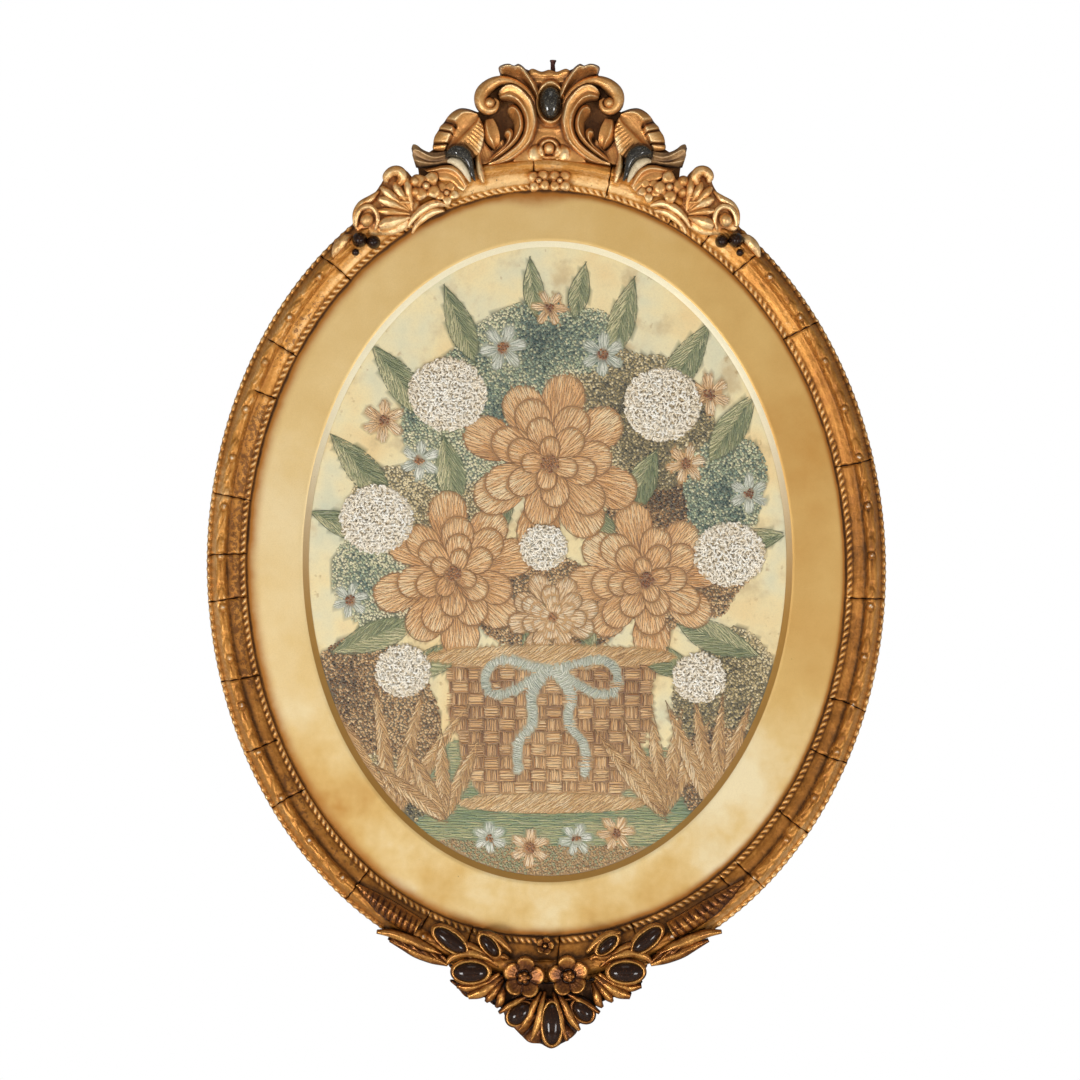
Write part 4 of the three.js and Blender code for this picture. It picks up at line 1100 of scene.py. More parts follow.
# Shoulders. A shell of deep flutes at each shoulder of the rail, under a curled tongue, with a
# round bud, a side leaf and three dark berries below. Columns as for the crest's bands, drawn on
# the right; the left shoulder bulges a little more.
SHOULDER_OUTLINE = [
    (683, 184), (691, 172), (699, 168.6), (706, 168.8), (711, 175), (712, 184), (718, 194), (727, 201),
    (736, 205.6), (738, 215), (737, 229), (729, 234), (716, 235.4), (700, 234), (684, 222), (678, 204),
]
SHOULDER_BANDS = [
    [(700, 188, 4.6, 21), (695, 180, 6.4, 23.4), (698, 173, 6.4, 24.6), (705, 172.6, 6.2, 25),
     (709, 178, 5.4, 24.4), (708, 184, 2.0, 22.6)],
    [(686, 212, 1.4, 20), (688, 200, 3.6, 22.6), (690, 188, 5.2, 23.6), (691, 179, 2.4, 22)],
    [(687, 211, 1.4, 20), (693, 200, 3.8, 22.8), (698.6, 190, 5.2, 23.8), (701, 183, 2.4, 22)],
    [(688, 211, 1.4, 20), (697, 203, 4.0, 23), (706, 194, 5.4, 24), (711, 188, 2.2, 22)],
    [(689, 212, 1.6, 20), (698, 207, 5.2, 23.2), (706, 202.6, 6.6, 24.4), (713, 200, 3.2, 23)],
    [(688, 215, 1.4, 20), (697, 213.6, 3.6, 23), (706, 212.6, 4.4, 24), (714, 212, 2.4, 22.6)],
    [(688, 218, 1.6, 20), (697, 220.6, 5.8, 23.4), (706, 224, 8.2, 24.6), (713, 227.6, 5.0, 23)],
    [(684, 199, 1.2, 20), (690, 198.6, 2.2, 22.8), (697, 198.6, 2.0, 23)],
    [(684, 204, 1.2, 20), (690, 203.4, 2.2, 22.8), (697, 203.4, 2.0, 23)],
    [(717, 231, 1.4, 21), (714, 222, 2.6, 23), (716, 212.6, 3.0, 24), (722, 207.6, 3.2, 24.4),
     (730, 209.6, 3.2, 24.2), (735, 217, 3.0, 23.8), (736, 228, 1.6, 22)],
    [(713, 192, 1.4, 20), (721, 199.6, 4.2, 22.6), (731, 205.4, 4.0, 22.8), (737, 214, 2.6, 22),
     (738, 226, 1.2, 20)],
    [(650, 206, 1.4, 17), (662, 204, 4.6, 20), (674, 209, 5.2, 21), (684, 218, 3.6, 21),
     (690, 228, 1.4, 19)],
    [(654, 211, 1.2, 16), (664, 212, 4.0, 18.6), (674, 217.6, 4.6, 19.4), (682, 226, 3.0, 18.6),
     (686, 234, 1.2, 17)],
    [(740, 236, 1.6, 18), (747, 240, 6.0, 21.4), (754, 248, 6.4, 22), (759, 258, 2.0, 19)],
]
SHOULDER_DOMES = [
    (725, 221, 3.9, 4.4, 20, 20.6, 25.6), (683, 182.6, 3.9, 3.8, 0, 17.6, 23.6),
    (682.6, 193, 3.6, 3.6, 0, 17.6, 23.2),
]
SHOULDER_MIDDLE = (706, 208)
LEFT_BULGE = 3.6


def shoulder_places(table, side):
    """Rows drawn on the right shoulder, mirrored for the left one and there moved out by a ramp."""
    rows = from_photo(table, -side)
    if side < 0:
        low, out = np.clip((237 - rows[:, 1]) / 9.0, 0, 1), np.clip((-rows[:, 0] - 84) / 12, 0, 1)
        rows[:, 0] -= LEFT_BULGE * low * out
    return rows


def flutes(u, v):
    """Two shallow grooves along a band, and slight waves along it where the chisel went."""
    return -0.13 * (bell(v - 0.42, 0.16) + bell(v + 0.42, 0.16)) + 0.03 * np.sin(u * 21 + 3 * v)


def shoulder_grids(side):
    """A low mound, falling as the fourth power of the share out, with the bands and domes on it."""
    middle = shoulder_places([SHOULDER_MIDDLE], side)[0]

    def base(px, pz, share, turn):
        return 19.0 - 2.2 * share**4 + 0.5 * smooth_wave(41, px * 1.3 + pz, 3.0)

    grids = [lump(shoulder_places(SHOULDER_OUTLINE, side), middle, base, back=2.0, shares=14, turns=90)]
    for rows in SHOULDER_BANDS:
        rows = shoulder_places(rows, side)
        grids.append(band(rows, 15.0, power=0.55, along=30, across=12, rim=1.2, side_shape=flutes))
    for row in SHOULDER_DOMES:
        place = shoulder_places([row[:2]], side)[0]
        grids.append(dome(*place, *row[2:4], row[4] * side, *row[5:], turns=36, shares=12))
    return grids


pair("shell", ["shell"], shoulder_grids, crest_gold, "dark_gilding")

# Columns: node, photo x, photo y, radius in mm and crown.
BERRIES = [
    ("berry_left_outer", 360, 240.6, 4.7, 25.4), ("berry_left_inner", 374, 242.8, 4.2, 24.6),
    ("berry_right_outer", 735.4, 241, 4.6, 25.4), ("berry_right_inner", 721.2, 242, 4.0, 24.6),
]
for name, photo_x, photo_y, radius, crown in BERRIES:
    x, z = from_photo([(photo_x, photo_y)])[0]
    side = np.sign(x)
    grids = [dome(x, z, radius, radius, 0, 18.0, crown)]
    if name.endswith("outer"):
        grids.append(dome(x + side * 2.4, z - 7.4, 2.3, 2.3, 0, 18.6, 21.4))
    make(f"{name}_glaze", grids, foot_black, "black_stone", name)


# Lower ornament. Black stones in thin gilded rims, chiselled leaves, a fan of gilded flutes, and
# two open flowers under a bud, all of cast composition on a flat sawn board.
# Its board has the darker copy of the gold, painted shade from the carving over it.
dress("foot_plate", shadow_gold)
foot_gold = gilding("foot_gold", "#1C0D05 #5A3012 #9C6024 #DDA052", metal=0.6, gloss=0.26)
# Columns: node, x, z, half length and half width in mm, tilt, crown.
FOOT_STONES = [
    ("stone_foot_middle", 3.4, -273.0, 5.6, 12.6, 0, 25.0),
    ("stone_foot_left", -16.0, -267.0, 8.0, 5.4, 42, 23.5),
    ("stone_foot_right", 21.6, -265.4, 7.2, 5.0, -48, 23.5),
    ("stone_low_left", -45.2, -242.1, 10.2, 5.9, 0, 26.0),
    ("stone_low_right", 47.6, -242.1, 10.2, 5.9, 0, 26.0),
    ("stone_high_left", -57.5, -223.2, 11.4, 4.8, -37, 25.0),
    ("stone_high_right", 60.1, -222.8, 10.6, 4.5, 41, 25.0),
    ("stone_small_left", -34.1, -226.4, 7.8, 3.6, -50, 24.0),
    ("stone_small_right", 36.4, -226.0, 7.4, 3.4, 42, 24.0),
]
STONE_RISE = 4.4
RIM_OUT = 0.6
SEAT_OUT = 2.2
rims, seats = [], []
for name, x, z, half_long, half_wide, tilt, crown in FOOT_STONES:
    foot = crown - STONE_RISE
    stone = dome(x, z, half_long, half_wide, tilt, foot, crown)
    make(f"{name}_dome", [stone], foot_black, "black_stone", name)
    rims.append(ring(x, z, half_long + RIM_OUT, half_wide + RIM_OUT, tilt, foot + 0.3, 0.8))
    seat = ellipse_places(x, z, half_long + SEAT_OUT, half_wide + SEAT_OUT, tilt, all_round(24))
    seats.append(lump(
        np.stack(seat, axis=-1), (x, z), lambda px, pz, share, turn: foot - 1.2 * share**3 + 0 * px,
        shares=8, turns=56,
    ))
carve("stone_rims", rims, foot_gold, "gilding", rows_join=True)
carve("stone_seats", seats, foot_gold, "gilding")

FOOT_BANDS = [
    [(503, 976, 2, 18), (492, 984, 7, 21), (480, 991, 8, 21.6), (468, 995.4, 4, 19.5)],
    [(504, 979, 2, 18), (496, 988, 5.4, 21), (490, 996, 5.4, 21), (486, 1001, 2, 19)],
    [(500, 973, 2, 18), (486, 981.6, 5.4, 20.4), (470, 986.4, 6, 20.4), (457, 985, 3, 18.5)],
    [(506, 982, 2, 18), (502, 992, 5.4, 21), (500, 1001, 5.4, 21), (496, 1006.4, 2, 18.5)],
    [(499, 966, 2, 18), (486, 956.6, 5, 21), (470, 952, 5.4, 22.4), (454, 955, 4.4, 21.6),
     (446, 963, 2, 19)],
    [(496, 960, 2, 18), (482, 951, 4, 20.6), (469, 944.6, 4.4, 21.4), (458, 946, 3, 20)],
    [(448, 964, 2, 19), (434, 957.6, 7, 21.6), (417, 951.4, 7, 22.2), (403, 945, 4.6, 21.2),
     (390, 939.4, 2, 19.5)],
    [(442, 953, 2, 19), (425, 946, 7, 22.4), (408, 938, 7, 22.6), (392, 932.6, 5, 21.8),
     (377, 931, 2, 20)],
    [(512, 952, 2, 17), (501, 941, 4.4, 20), (490, 933.6, 4.4, 20.6), (478, 932, 2, 19)],
    [(512, 962, 2, 17), (503, 955.6, 4.4, 20), (493, 956, 4.4, 20.4), (482, 949, 2, 18.5)],
    [(541, 990, 2, 19), (534, 1003, 4.4, 22), (527, 1018, 5.4, 22), (519, 1029.4, 2, 19)],
    [(545, 990, 2, 19), (541, 1006, 3.4, 22.6), (537.4, 1024, 4.6, 22.6), (531, 1039.6, 2, 19.5)],
    [(537, 988, 2, 19), (524, 996, 3.4, 21.5), (509, 1005, 4, 21.4), (499, 1012, 2, 19)],
]


for side, word in SIDES:
    ribs = [
        band(from_photo(rows, side), 13.0, power=0.55, along=34, across=13, rim=1.3, side_shape=flutes)
        for rows in FOOT_BANDS
    ]
    carve(f"leaf_ribs_{word}", ribs, foot_gold, "dark_gilding", f"leaf_low_{word}")

FAN = [
    (-25, -262.4), (-24.6, -269.4), (-18.2, -277.2), (-11, -284.2), (-3.8, -285.6), (3.1, -288.2),
    (10, -285), (17.8, -279.4), (19.4, -274), (27, -268), (29.6, -263), (21.6, -258), (2.8, -257.6),
    (-16, -258),
]
FAN_MIDDLE = (2.9, -262.0)


def fan_front(x, z, share, turn):
    """Flutes that spread from the fan's middle: rounded ribs by the angle, dished along it."""
    angle = np.arctan2(x - FAN_MIDDLE[0], -(z - FAN_MIDDLE[1]))
    reach = np.hypot(x - FAN_MIDDLE[0], z - FAN_MIDDLE[1])
    rib = np.abs(np.cos(angle * 6.5)) ** 0.8
    rise = np.clip(reach / 9, 0, 1)
    return 16.6 + 3.4 * rib * rise - 2.0 * np.clip(share - 0.8, 0, 1) / 0.2 + 1.2 * bell(reach - 5, 2)


fan = lump(FAN, FAN_MIDDLE, fan_front, shares=30, turns=220)
carve("fan", [fan], foot_gold, "dark_gilding", "fan_shell")


def cupped_flower(x, z, radius, petals, foot, rise, turn_by):
    """Grid of an open flower round a domed eye. By the angle, petals rise as the square root of
    a rounded cosine; outwards, they are dished as a power of the share and turned down at the edge."""
    a = all_round(140)
    phase = np.abs(np.cos((a * petals / 2) - turn_by))
    reach = radius * (0.74 + 0.26 * phase**0.7)
    outline = np.stack([x + reach * np.cos(a), z + reach * np.sin(a)], axis=-1)

    def front(px, pz, share, turn):
        angle = turn * 2 * np.pi
        lobe = np.abs(np.cos(angle * petals / 2 - turn_by))
        out = np.clip((share - 0.30) / 0.62, 0, 1)
        cup = 0.35 + 0.65 * out**1.5
        height = foot + rise * (0.30 + 0.62 * cup * lobe**0.5)
        height -= 2.4 * np.clip((share - 0.9) / 0.1, 0, 1) ** 2
        height += 0.25 * np.sin(angle * petals * 5) * out * (1 - out)
        height -= 0.9 * bell(share - 0.34, 0.05)
        eye = np.clip(1 - (share / 0.30) ** 2, 0, 1) ** 0.5
        return np.where(share < 0.30, foot + rise * (0.35 + 0.5 * eye), height)

    return lump(outline, (x, z), front, back=foot - 6.0, shares=27, turns=140)


# Columns: node, x, z, radius, petals, foot, rise and turn.
FOOT_FLOWERS = [
    ("foot_flower_left", -13.6, -245.2, 12.8, 5, 19.6, 6.4, 0.4),
    ("foot_flower_right", 13.2, -244.4, 12.4, 5, 19.6, 6.4, 1.1),
    ("foot_bud", -0.8, -226.8, 5.4, 5, 15.4, 4.6, 0.2),
]
for name, x, z, radius, petals, foot, rise, turn_by in FOOT_FLOWERS:
    grids = [cupped_flower(x, z, radius, petals, foot, rise, turn_by)]
    if radius > 6:
        grids += [
            dome(x + dx, z + dz, 1.7, 1.7, 0, foot + 2.6, foot + 5.4, shares=8, turns=20)
            for dx, dz in ((2.2 * np.cos(b), 2.2 * np.sin(b)) for b in np.arange(5) * 1.26)
        ]
    carve(f"{name}_petals", grids, foot_gold, "gilding", name)


# Leaves of the lower ornament and the feathered leaves that run up the rail beside it, all
# carved with a midrib and slanting ribs.
LEAVES = {
    "leaf_low_left": ([
        (-57.6, -247.6), (-53.4, -252), (-47.6, -257.8), (-38.6, -257.2), (-31, -262.6), (-26.6, -259.6),
        (-27, -251.6), (-34, -249.6), (-45.2, -249.6),
    ], (-41, -254), 10.4, 19.0),
    "leaf_low_right": ([
        (57.6, -248.4), (50.2, -253.6), (35.5, -259.6), (30.8, -260.6),
        (29, -253), (36, -250), (47.6, -249.4),
    ], (41, -254), 10.4, 19.0),
    "leaf_side_left": ([
        (-95, -222.8), (-83.2, -228.4), (-80, -231.4), (-70.4, -236.2), (-59, -238.4), (-61, -233.4),
        (-67, -230.8), (-74, -227.6), (-85, -222),
    ], (-76, -229.4), 2.0, 22.0),
    "leaf_side_right": ([
        (92.4, -222.2), (82.8, -227.6), (81.2, -230.8), (73.6, -234.4), (62.6, -237.2), (64, -232.6),
        (70, -229.4), (77, -226), (85, -221),
    ], (77, -229.0), 2.0, 22.0),
}
for name, (outline, middle, back, crown) in LEAVES.items():
    side = np.sign(middle[0])

    def ribbed(x, z, share, turn):
        """A crown that falls as a power of the share out, with slanting sine ribs."""
        rib = np.sin((x * side * 0.8 - z * 0.7) * 1.9)
        return crown - 3.6 * share**1.6 + 0.55 * rib * np.clip(share * 3, 0, 1)

    leaf = lump(outline, middle, ribbed, back=back, shares=20, turns=160)
    carve(f"{name}_ribs", [leaf], foot_gold, "dark_gilding", name)

# Share of the length, width and crest; then the angles on the oval where each feather runs.
FEATHER_ROWS = [
    (0.0, 1.6, 19.5), (0.25, 8.0, 21.6), (0.5, 11.4, 22.6), (0.8, 12.4, 22.8), (1.0, 11.6, 22.0),
]
for word, start, end in (("left", -128.0, -115.5), ("right", -53.0, -68.0)):
    share, wide, crest = np.transpose(FEATHER_ROWS)
    x, z = oval(np.radians(start + (end - start) * share), np.full_like(share, 12.4))
    rows = np.stack([x, z, wide, crest], axis=-1)

    def barbs(u, v):
        """Slanting barbs, a rounded sine wave of u and v, flat at the edges, and a midrib."""
        slant = np.abs(np.sin(np.pi * (u * 11.5 + 0.30 * v))) ** 0.6 - 0.6
        return 0.34 * slant * (1 - v**4) + 0.10 * bell(v - 0.1, 0.10)

    feather = band(rows, power=0.6, along=150, across=31, rim=0.9, side_shape=barbs)
    carve(f"feather_{word}_barbs", [feather], foot_gold, "dark_gilding", f"feather_{word}")


# Age and painted light of the gilding. All the carved fronts are put into one map of heights; a place
# lower than the blurred map round it is hollow and is darkened, as dirt and painted shade, and a
# higher one is lightened, as rubbed gold and painted highlight. What faces up is painted darker, as shade.
CELL = 0.6
LOW_CORNER = np.array([-215.0, -295.0])
MAP_SHAPE = (720, 1020)


def map_cells(points):
    """Cells of the map of heights in which the points lie."""
    cells = ((points[:, [0, 2]] - LOW_CORNER) / CELL).astype(int)
    return np.clip(cells, 0, np.array(MAP_SHAPE) - 1)


def piece_points(piece):
    """A piece's vertices as (x, height, z) in millimetres."""
    points = np.empty(len(piece.data.vertices) * 3)
    piece.data.vertices.foreach_get("co", points)
    points = points.reshape(-1, 3) / MM
    points[:, 1] *= -1
    return points


def blurred(values, spread):
    """Gaussian blur: a row of weights exp(-(d / spread) squared) passed along both axes."""
    reach = int(3 * spread)
    weights = bell(np.arange(-reach, reach + 1), spread)
    weights /= weights.sum()
    for axis in (0, 1):
        padded = np.pad(values, [(reach, reach) if k == axis else (0, 0) for k in (0, 1)], mode="edge")
        length = values.shape[axis]
        values = sum(
            w * np.take(padded, np.arange(k, k + length), axis=axis) for k, w in enumerate(weights)
        )
    return values


relief = np.zeros(MAP_SHAPE)
for piece in carved:
    points = piece_points(piece)
    cells = map_cells(points)
    np.maximum.at(relief, (cells[:, 0], cells[:, 1]), points[:, 1])
covered = relief > 0
for _ in range(3):
    grown = np.maximum.reduce([np.roll(relief, shift, axis=axis) for axis in (0, 1) for shift in (-1, 1)])
    relief = np.where(covered, relief, grown)
    covered = relief > 0
weight = covered.astype(float)
means = [
    blurred(relief, spread) / np.maximum(blurred(weight, spread), 1e-6)
    for spread in (2.0, 7.0)
]
open_air = np.clip(2.2 * (1 - blurred(weight, 3.0)), 0, 1)
for piece in carved:
    points = piece_points(piece)
    cells = map_cells(points)
    near = points[:, 1] - means[0][cells[:, 0], cells[:, 1]]
    far = points[:, 1] - means[1][cells[:, 0], cells[:, 1]]
    shallow = piece.name.startswith(("rail", "shell"))
    share = 0.45 if shallow else 0.62
    normals = np.empty(points.size)
    piece.data.vertex_normals.foreach_get("vector", normals)
    # Painted shade on what faces up, except on the rail.
    painted_shade_facing_up = 0.0 if piece.name.startswith("rail") else 0.40 * np.clip(normals[2::3] - 0.05, 0, 1)
    side_wall = 0.0
    if not piece.name.startswith("rail"):
        side_wall = 0.75 * open_air[cells[:, 0], cells[:, 1]] * np.clip((-near - 3) / 4, 0, 1)
    # Hollow: dirt and painted shade. Raised: rubbed gold and painted highlight, none where facing up.
    fields = {
        "hollow": share * np.clip(-0.9 * near - 0.20 * far - 0.05, 0, 1.2) * (1 - side_wall) + painted_shade_facing_up,
        "raised": (
            (0.7 if shallow else 1.0) * np.clip(0.9 * near + 0.22 * far - 0.05, 0, 1.2) * (1 - painted_shade_facing_up)
        ),
    }
    for key, values in fields.items():
        layer = piece.data.attributes.new(key, "FLOAT", "POINT")
        layer.data.foreach_set("value", values)



# Back board. A thin sawn board in the rebate behind the silk. Its wood is brown with age, in
# streaks of grain.
wood = Finish("old_board", roughness=0.75)
grain_places = wood.add("ShaderNodeMapping", {"Vector": wood.places, "Scale": (6.0, 1.0, 0.5)})
grain = wood.noise(14.0, detail=6.0, roughness=0.6, places=grain_places)
wood.set(
    Base_Color=wood.ramp(grain, (0.3, color("#5E452C")), (0.5, color("#80623F")), (0.7, color("#9C7C54"))),
    Normal=wood.bump(grain, 0.3, 0.5),
)
dress("back_board", wood)


# Mat. A board gilded on its face, laid over the silk, with an oval opening whose edge is bevelled.
# The gold is satin and a little grained. Near the rail it has an orange-brown stain with painted
# reflection of the rail, and painted shadow at the rail's edge; its clouds grow at the foot as
# painted reflection of the lower ornament; it is painted lighter and darker round the oval as sheen
# and light, and its bevel is painted light towards the top and darker towards the foot.
MAT_LOW = 4.6
MAT_HIGH = 7.6
OPENING = (0.7, 3.2, 143.7, 189.2)
BEVEL = 3.6
REBATE = 19.5
mat_gold = Finish("mat_gold", metallic=0.42, specular_ior_level=0.4)
# Orange-brown stain with painted reflection of the rail, and painted shadow at the rail's edge.
near_rail = mat_gold.attribute("near_rail")
on_bevel = mat_gold.attribute("on_bevel")
# Painted light and sheen by the angle round the oval.
mat_painted_light = mat_gold.attribute("tone")
cloud = mat_gold.noise(60.0, detail=4.0, roughness=0.6)
mottle = mat_gold.noise(11.0, detail=4.0)
leaf_grain = mat_gold.noise(0.55, detail=2.0)
up = mat_gold.axis("Z")
# Clouds of tone, stronger towards the foot, where they are painted reflection of the lower ornament.
clouds_and_foot_reflection = (cloud - 0.5) * (0.35 + mat_gold.squeeze(up * -1.0, 0.03, 0.16) * 1.3)
gold = mat_gold.ramp(
    mat_painted_light + 0.175 + clouds_and_foot_reflection + mottle * 0.08,
    (0.20, color("#CA9244")), (0.42, color("#E0B870")), (0.58, color("#EBCB8C")), (0.80, color("#F6E3B6")),
)
# Orange-brown stain and painted reflection near the rail; nearest the rail, painted shadow.
stain_reflection_shadow = near_rail * (0.9 + (mottle - 0.5) * 0.6)
gold = mat_gold.blend(gold, color("#B06E26"), mat_gold.squeeze(stain_reflection_shadow, 0.10, 0.85))
gold = mat_gold.blend(gold, color("#3C2410"), mat_gold.squeeze(stain_reflection_shadow, 0.85, 1.25) * 0.9)
# Painted light on the bevel: cream towards the top, darker gold towards the foot.
bevel_painted_light = mat_gold.blend(color("#B98A44"), color("#FFF6D6"), mat_gold.squeeze(up, -0.04, 0.12))
gold = mat_gold.blend(gold, bevel_painted_light, on_bevel * 0.95)
speck = mat_gold.squeeze(mat_gold.noise(2.6, detail=2.0), 0.775, 0.80)
gold = mat_gold.blend(gold, color("#7A4E22"), speck * 0.6)
mat_gold.set(
    Base_Color=mat_gold.blend(gold, color("#8C6430"), (leaf_grain - 0.5) * 0.35 + 0.04),
    Roughness=0.34 + mottle * 0.16 + leaf_grain * 0.08,
    Normal=mat_gold.bump(leaf_grain, 0.10, 0.35),
)
mat_angles = np.linspace(0, 2 * np.pi, 432, endpoint=False)[:, None]
mat_shares = np.array([
    0.0, 0.06, 0.2, 0.4, 0.55, 0.65, 0.72, 0.77, 0.81, 0.84, 0.865, 0.885, 0.91, 1.0,
])[None]
inner_x = OPENING[0] + (OPENING[2] + BEVEL) * np.cos(mat_angles)
inner_z = OPENING[1] + (OPENING[3] + BEVEL) * np.sin(mat_angles)
outer_x, outer_z = oval(mat_angles, REBATE + 0 * mat_angles)
face_x = inner_x + (outer_x - inner_x) * mat_shares
face_z = inner_z + (outer_z - inner_z) * mat_shares
bevel_shares = np.array([0.0, 0.03, 0.97])[None]
bevel_x = OPENING[0] + (OPENING[2] + BEVEL * bevel_shares) * np.cos(mat_angles)
bevel_z = OPENING[1] + (OPENING[3] + BEVEL * bevel_shares) * np.sin(mat_angles)
rest_x = np.concatenate([outer_x, outer_x, inner_x, bevel_x[:, :1]], axis=1)
rest_z = np.concatenate([outer_z, outer_z, inner_z, bevel_z[:, :1]], axis=1)
flat = np.ones_like(mat_angles)
heights = np.concatenate([
    flat * [[MAT_LOW + 0.12, MAT_LOW + 0.2, MAT_HIGH - 0.12]],
    flat * np.full((1, mat_shares.size), MAT_HIGH),
    flat * [[MAT_HIGH - 0.1, MAT_LOW, MAT_LOW, MAT_LOW]],
], axis=1)
mat_grid = np.stack([
    np.concatenate([bevel_x, face_x, rest_x], axis=1), heights,
    np.concatenate([bevel_z, face_z, rest_z], axis=1),
], axis=-1)
sight_x, sight_z = oval(mat_angles, 24.0 + 0 * mat_angles)
to_rail = np.hypot(sight_x - face_x, sight_z - face_z) * np.sign(
    np.hypot(sight_x, sight_z) - np.hypot(face_x, face_z))
# The stain and painted reflection reach wider on the left and below the top flowers; the narrow dark band
# at the rail is painted shadow.
reach = 5.0 - 2.2 * np.cos(mat_angles - 0.3) + 6.0 * bell(mat_angles - np.radians(91), 0.10)
stain_reflection_shadow_values = 0.85 * bell(np.maximum(to_rail, 0), reach) + 0.5 * bell(np.maximum(to_rail, 0), 1.7)
# Painted light and sheen on the mat by the angle round the oval, in degrees: brightest low on the right.
PAINTED_LIGHT_BY_ANGLE = [
    (-90, 0.36), (-60, 0.40), (-48, 0.62), (-36, 0.50), (-15, 0.16), (15, 0.10), (60, 0.20), (90, 0.28),
    (135, 0.30), (175, 0.42), (205, 0.40), (228, 0.22), (250, 0.30), (270, 0.36),
]
painted_light_round_oval = np.interp((np.degrees(mat_angles) + 90) % 360 - 90, *np.transpose(PAINTED_LIGHT_BY_ANGLE))
make(
    "mat", [mat_grid], mat_gold, "mat_gold", "gold_mat", rows_join=True,
    # Stain with painted reflection, and painted shadow, near the rail.
    near_rail=[np.concatenate([0 * bevel_x, stain_reflection_shadow_values, 0 * rest_x], axis=1)],
    on_bevel=[np.concatenate([0 * bevel_x + 1, 0 * face_x, 0 * rest_x], axis=1)],
    # Painted light and sheen by the angle round the oval.
    tone=[painted_light_round_oval + np.zeros(mat_grid.shape[:2])],
)


# Silk. A sheet of painted silk, stretched over the back board, its sky cream and pale blue with
# foxing. The picture on it is a plain design of a basket of flowers, worked in silk and wool.
def patches(seed, x, z, size):
    """Cloudy values from about -1 to 1: the sum of smooth waves along five directions."""
    angles = 0.4 + 1.257 * np.arange(5)
    waves = [
        smooth_wave(seed + k, x * np.cos(a) + z * np.sin(a) + 900.0, size * (1 + 0.3 * k))
        for k, a in enumerate(angles)
    ]
    return sum(waves) / 2.2


THREADS = {
    name: np.array([color(code) for code in codes])
    for name, codes in {
        "peach": ["#AC743C", "#D89E5E", "#EEBC80", "#F6D09A", "#FBE4B8"],
        "pale_peach": ["#B88650", "#DDB17A", "#EFCB9A", "#F6DCB4", "#FBEACB"],
        "rose_heart": ["#7A4828", "#9C6236", "#C08850"],
        "wool": ["#D8C29A", "#EFE0C4", "#FBF1DE", "#FFFBF0"],
        "leaf": ["#403E30", "#74694A", "#AC9868", "#DAC492", "#F0DFB4"],
        "blue_leaf": ["#40564E", "#7A8E7C", "#B4BC98", "#DCD6AC", "#EEE4BE"],
        "satin_leaf": ["#66744E", "#969C70", "#C2BC8C", "#E2D8A8"],
        "bark": ["#3E2A1C", "#70502F", "#A87E4E", "#D4AC78", "#ECCB98"],
        "basket": ["#8E5E32", "#C4925A", "#E6BA82", "#F2D09C", "#F8E0B4"],
        "straw": ["#A87842", "#DCAE70", "#F0CE98", "#FAE2B8"],
        "ground": ["#5E7A60", "#8C9C70", "#B8B684", "#D8C898"],
        "earth": ["#8C6840", "#B58E5A", "#D2AC78", "#A6A67C"],
        "ribbon": ["#A0A898", "#CCCEBC", "#E6E4D2", "#F4F1E4"],
        "stem": ["#6A5A34", "#857444"],
    }.items()
}


def thread_color(name, value):
    """Colours from a thread's shades, joined in straight lines, at values from 0 to 1."""
    shades = THREADS[name]
    at = np.clip(value, 0, 1) * (len(shades) - 1)
    return np.stack([np.interp(at, np.arange(len(shades)), shades[:, c]) for c in range(3)], axis=-1)


# The design, later shapes over earlier ones: form, stitch, thread, x, z, half length, half width,
# tilt in degrees. A rose's petals and a spray's leaves are added from these.
SHAPES = [
    ("ground", "flat", "ground", 0, -150, 150, 42, 0), ("ground", "knot", "earth", 0, -200, 150, 32, 0),
    ("cloud", "knot", "bark", -106, -92, 42, 52, 8), ("cloud", "knot", "leaf", 112, -86, 42, 56, -8),
    ("cloud", "knot", "bark", 104, -122, 34, 30, 0), ("cloud", "knot", "leaf", -100, -136, 34, 22, 0),
    ("cloud", "knot", "leaf", -74, 16, 54, 60, 0), ("cloud", "knot", "bark", 76, 10, 52, 58, 0),
    ("cloud", "knot", "blue_leaf", -44, 92, 56, 44, 30), ("cloud", "knot", "leaf", 50, 92, 54, 42, -26),
    ("cloud", "knot", "blue_leaf", 0, 136, 44, 26, 0), ("cloud", "knot", "bark", 0, -24, 60, 30, 0),
    ("cloud", "knot", "blue_leaf", 108, 46, 26, 34, -10),
    ("cloud", "knot", "blue_leaf", -106, -6, 24, 34, 14),
    ("basket", "woven", "basket", 3, -98, 70, 46, 0),
    ("ellipse", "slant_flat", "straw", 3, -142, 58, 6.5, 0),
]
LEAVES_OF_SILK = [
    (-112, 60, 27, 9, 132), (112, 84, 25, 9, 56), (-88, 112, 28, 9, 128), (84, 124, 27, 9, 58),
    (-52, 146, 25, 8, 112), (46, 150, 25, 8, 74), (-8, 168, 18, 6, 96), (20, 166, 17, 6, 78),
    (-124, 26, 20, 7, 158), (126, 16, 19, 7, 12), (-104, -42, 27, 9, 200), (104, -44, 27, 9, -22),
    (-70, -58, 22, 8, 206), (74, -58, 22, 8, -24), (-30, 32, 22, 9, 60), (30, 26, 22, 9, 118),
    (-58, 58, 22, 9, 100), (58, 52, 20, 9, 66), (-6, -34, 22, 8, 250), (22, -34, 20, 8, 292),
]
TUFTS = [
    (-92, -150, 5, 98, 54, 42), (-62, -152, 4, 104, 66, 28), (70, -150, 5, 96, 42, 34),
    (100, -148, 4, 92, 36, 38),
]
ROSES = [
    (-56, -4, 47, 0.2, "peach"), (60, -8, 45, 0.9, "peach"), (2, 62, 52, 0.5, "peach"),
    (4, -30, 26, 0.3, "pale_peach"),
]
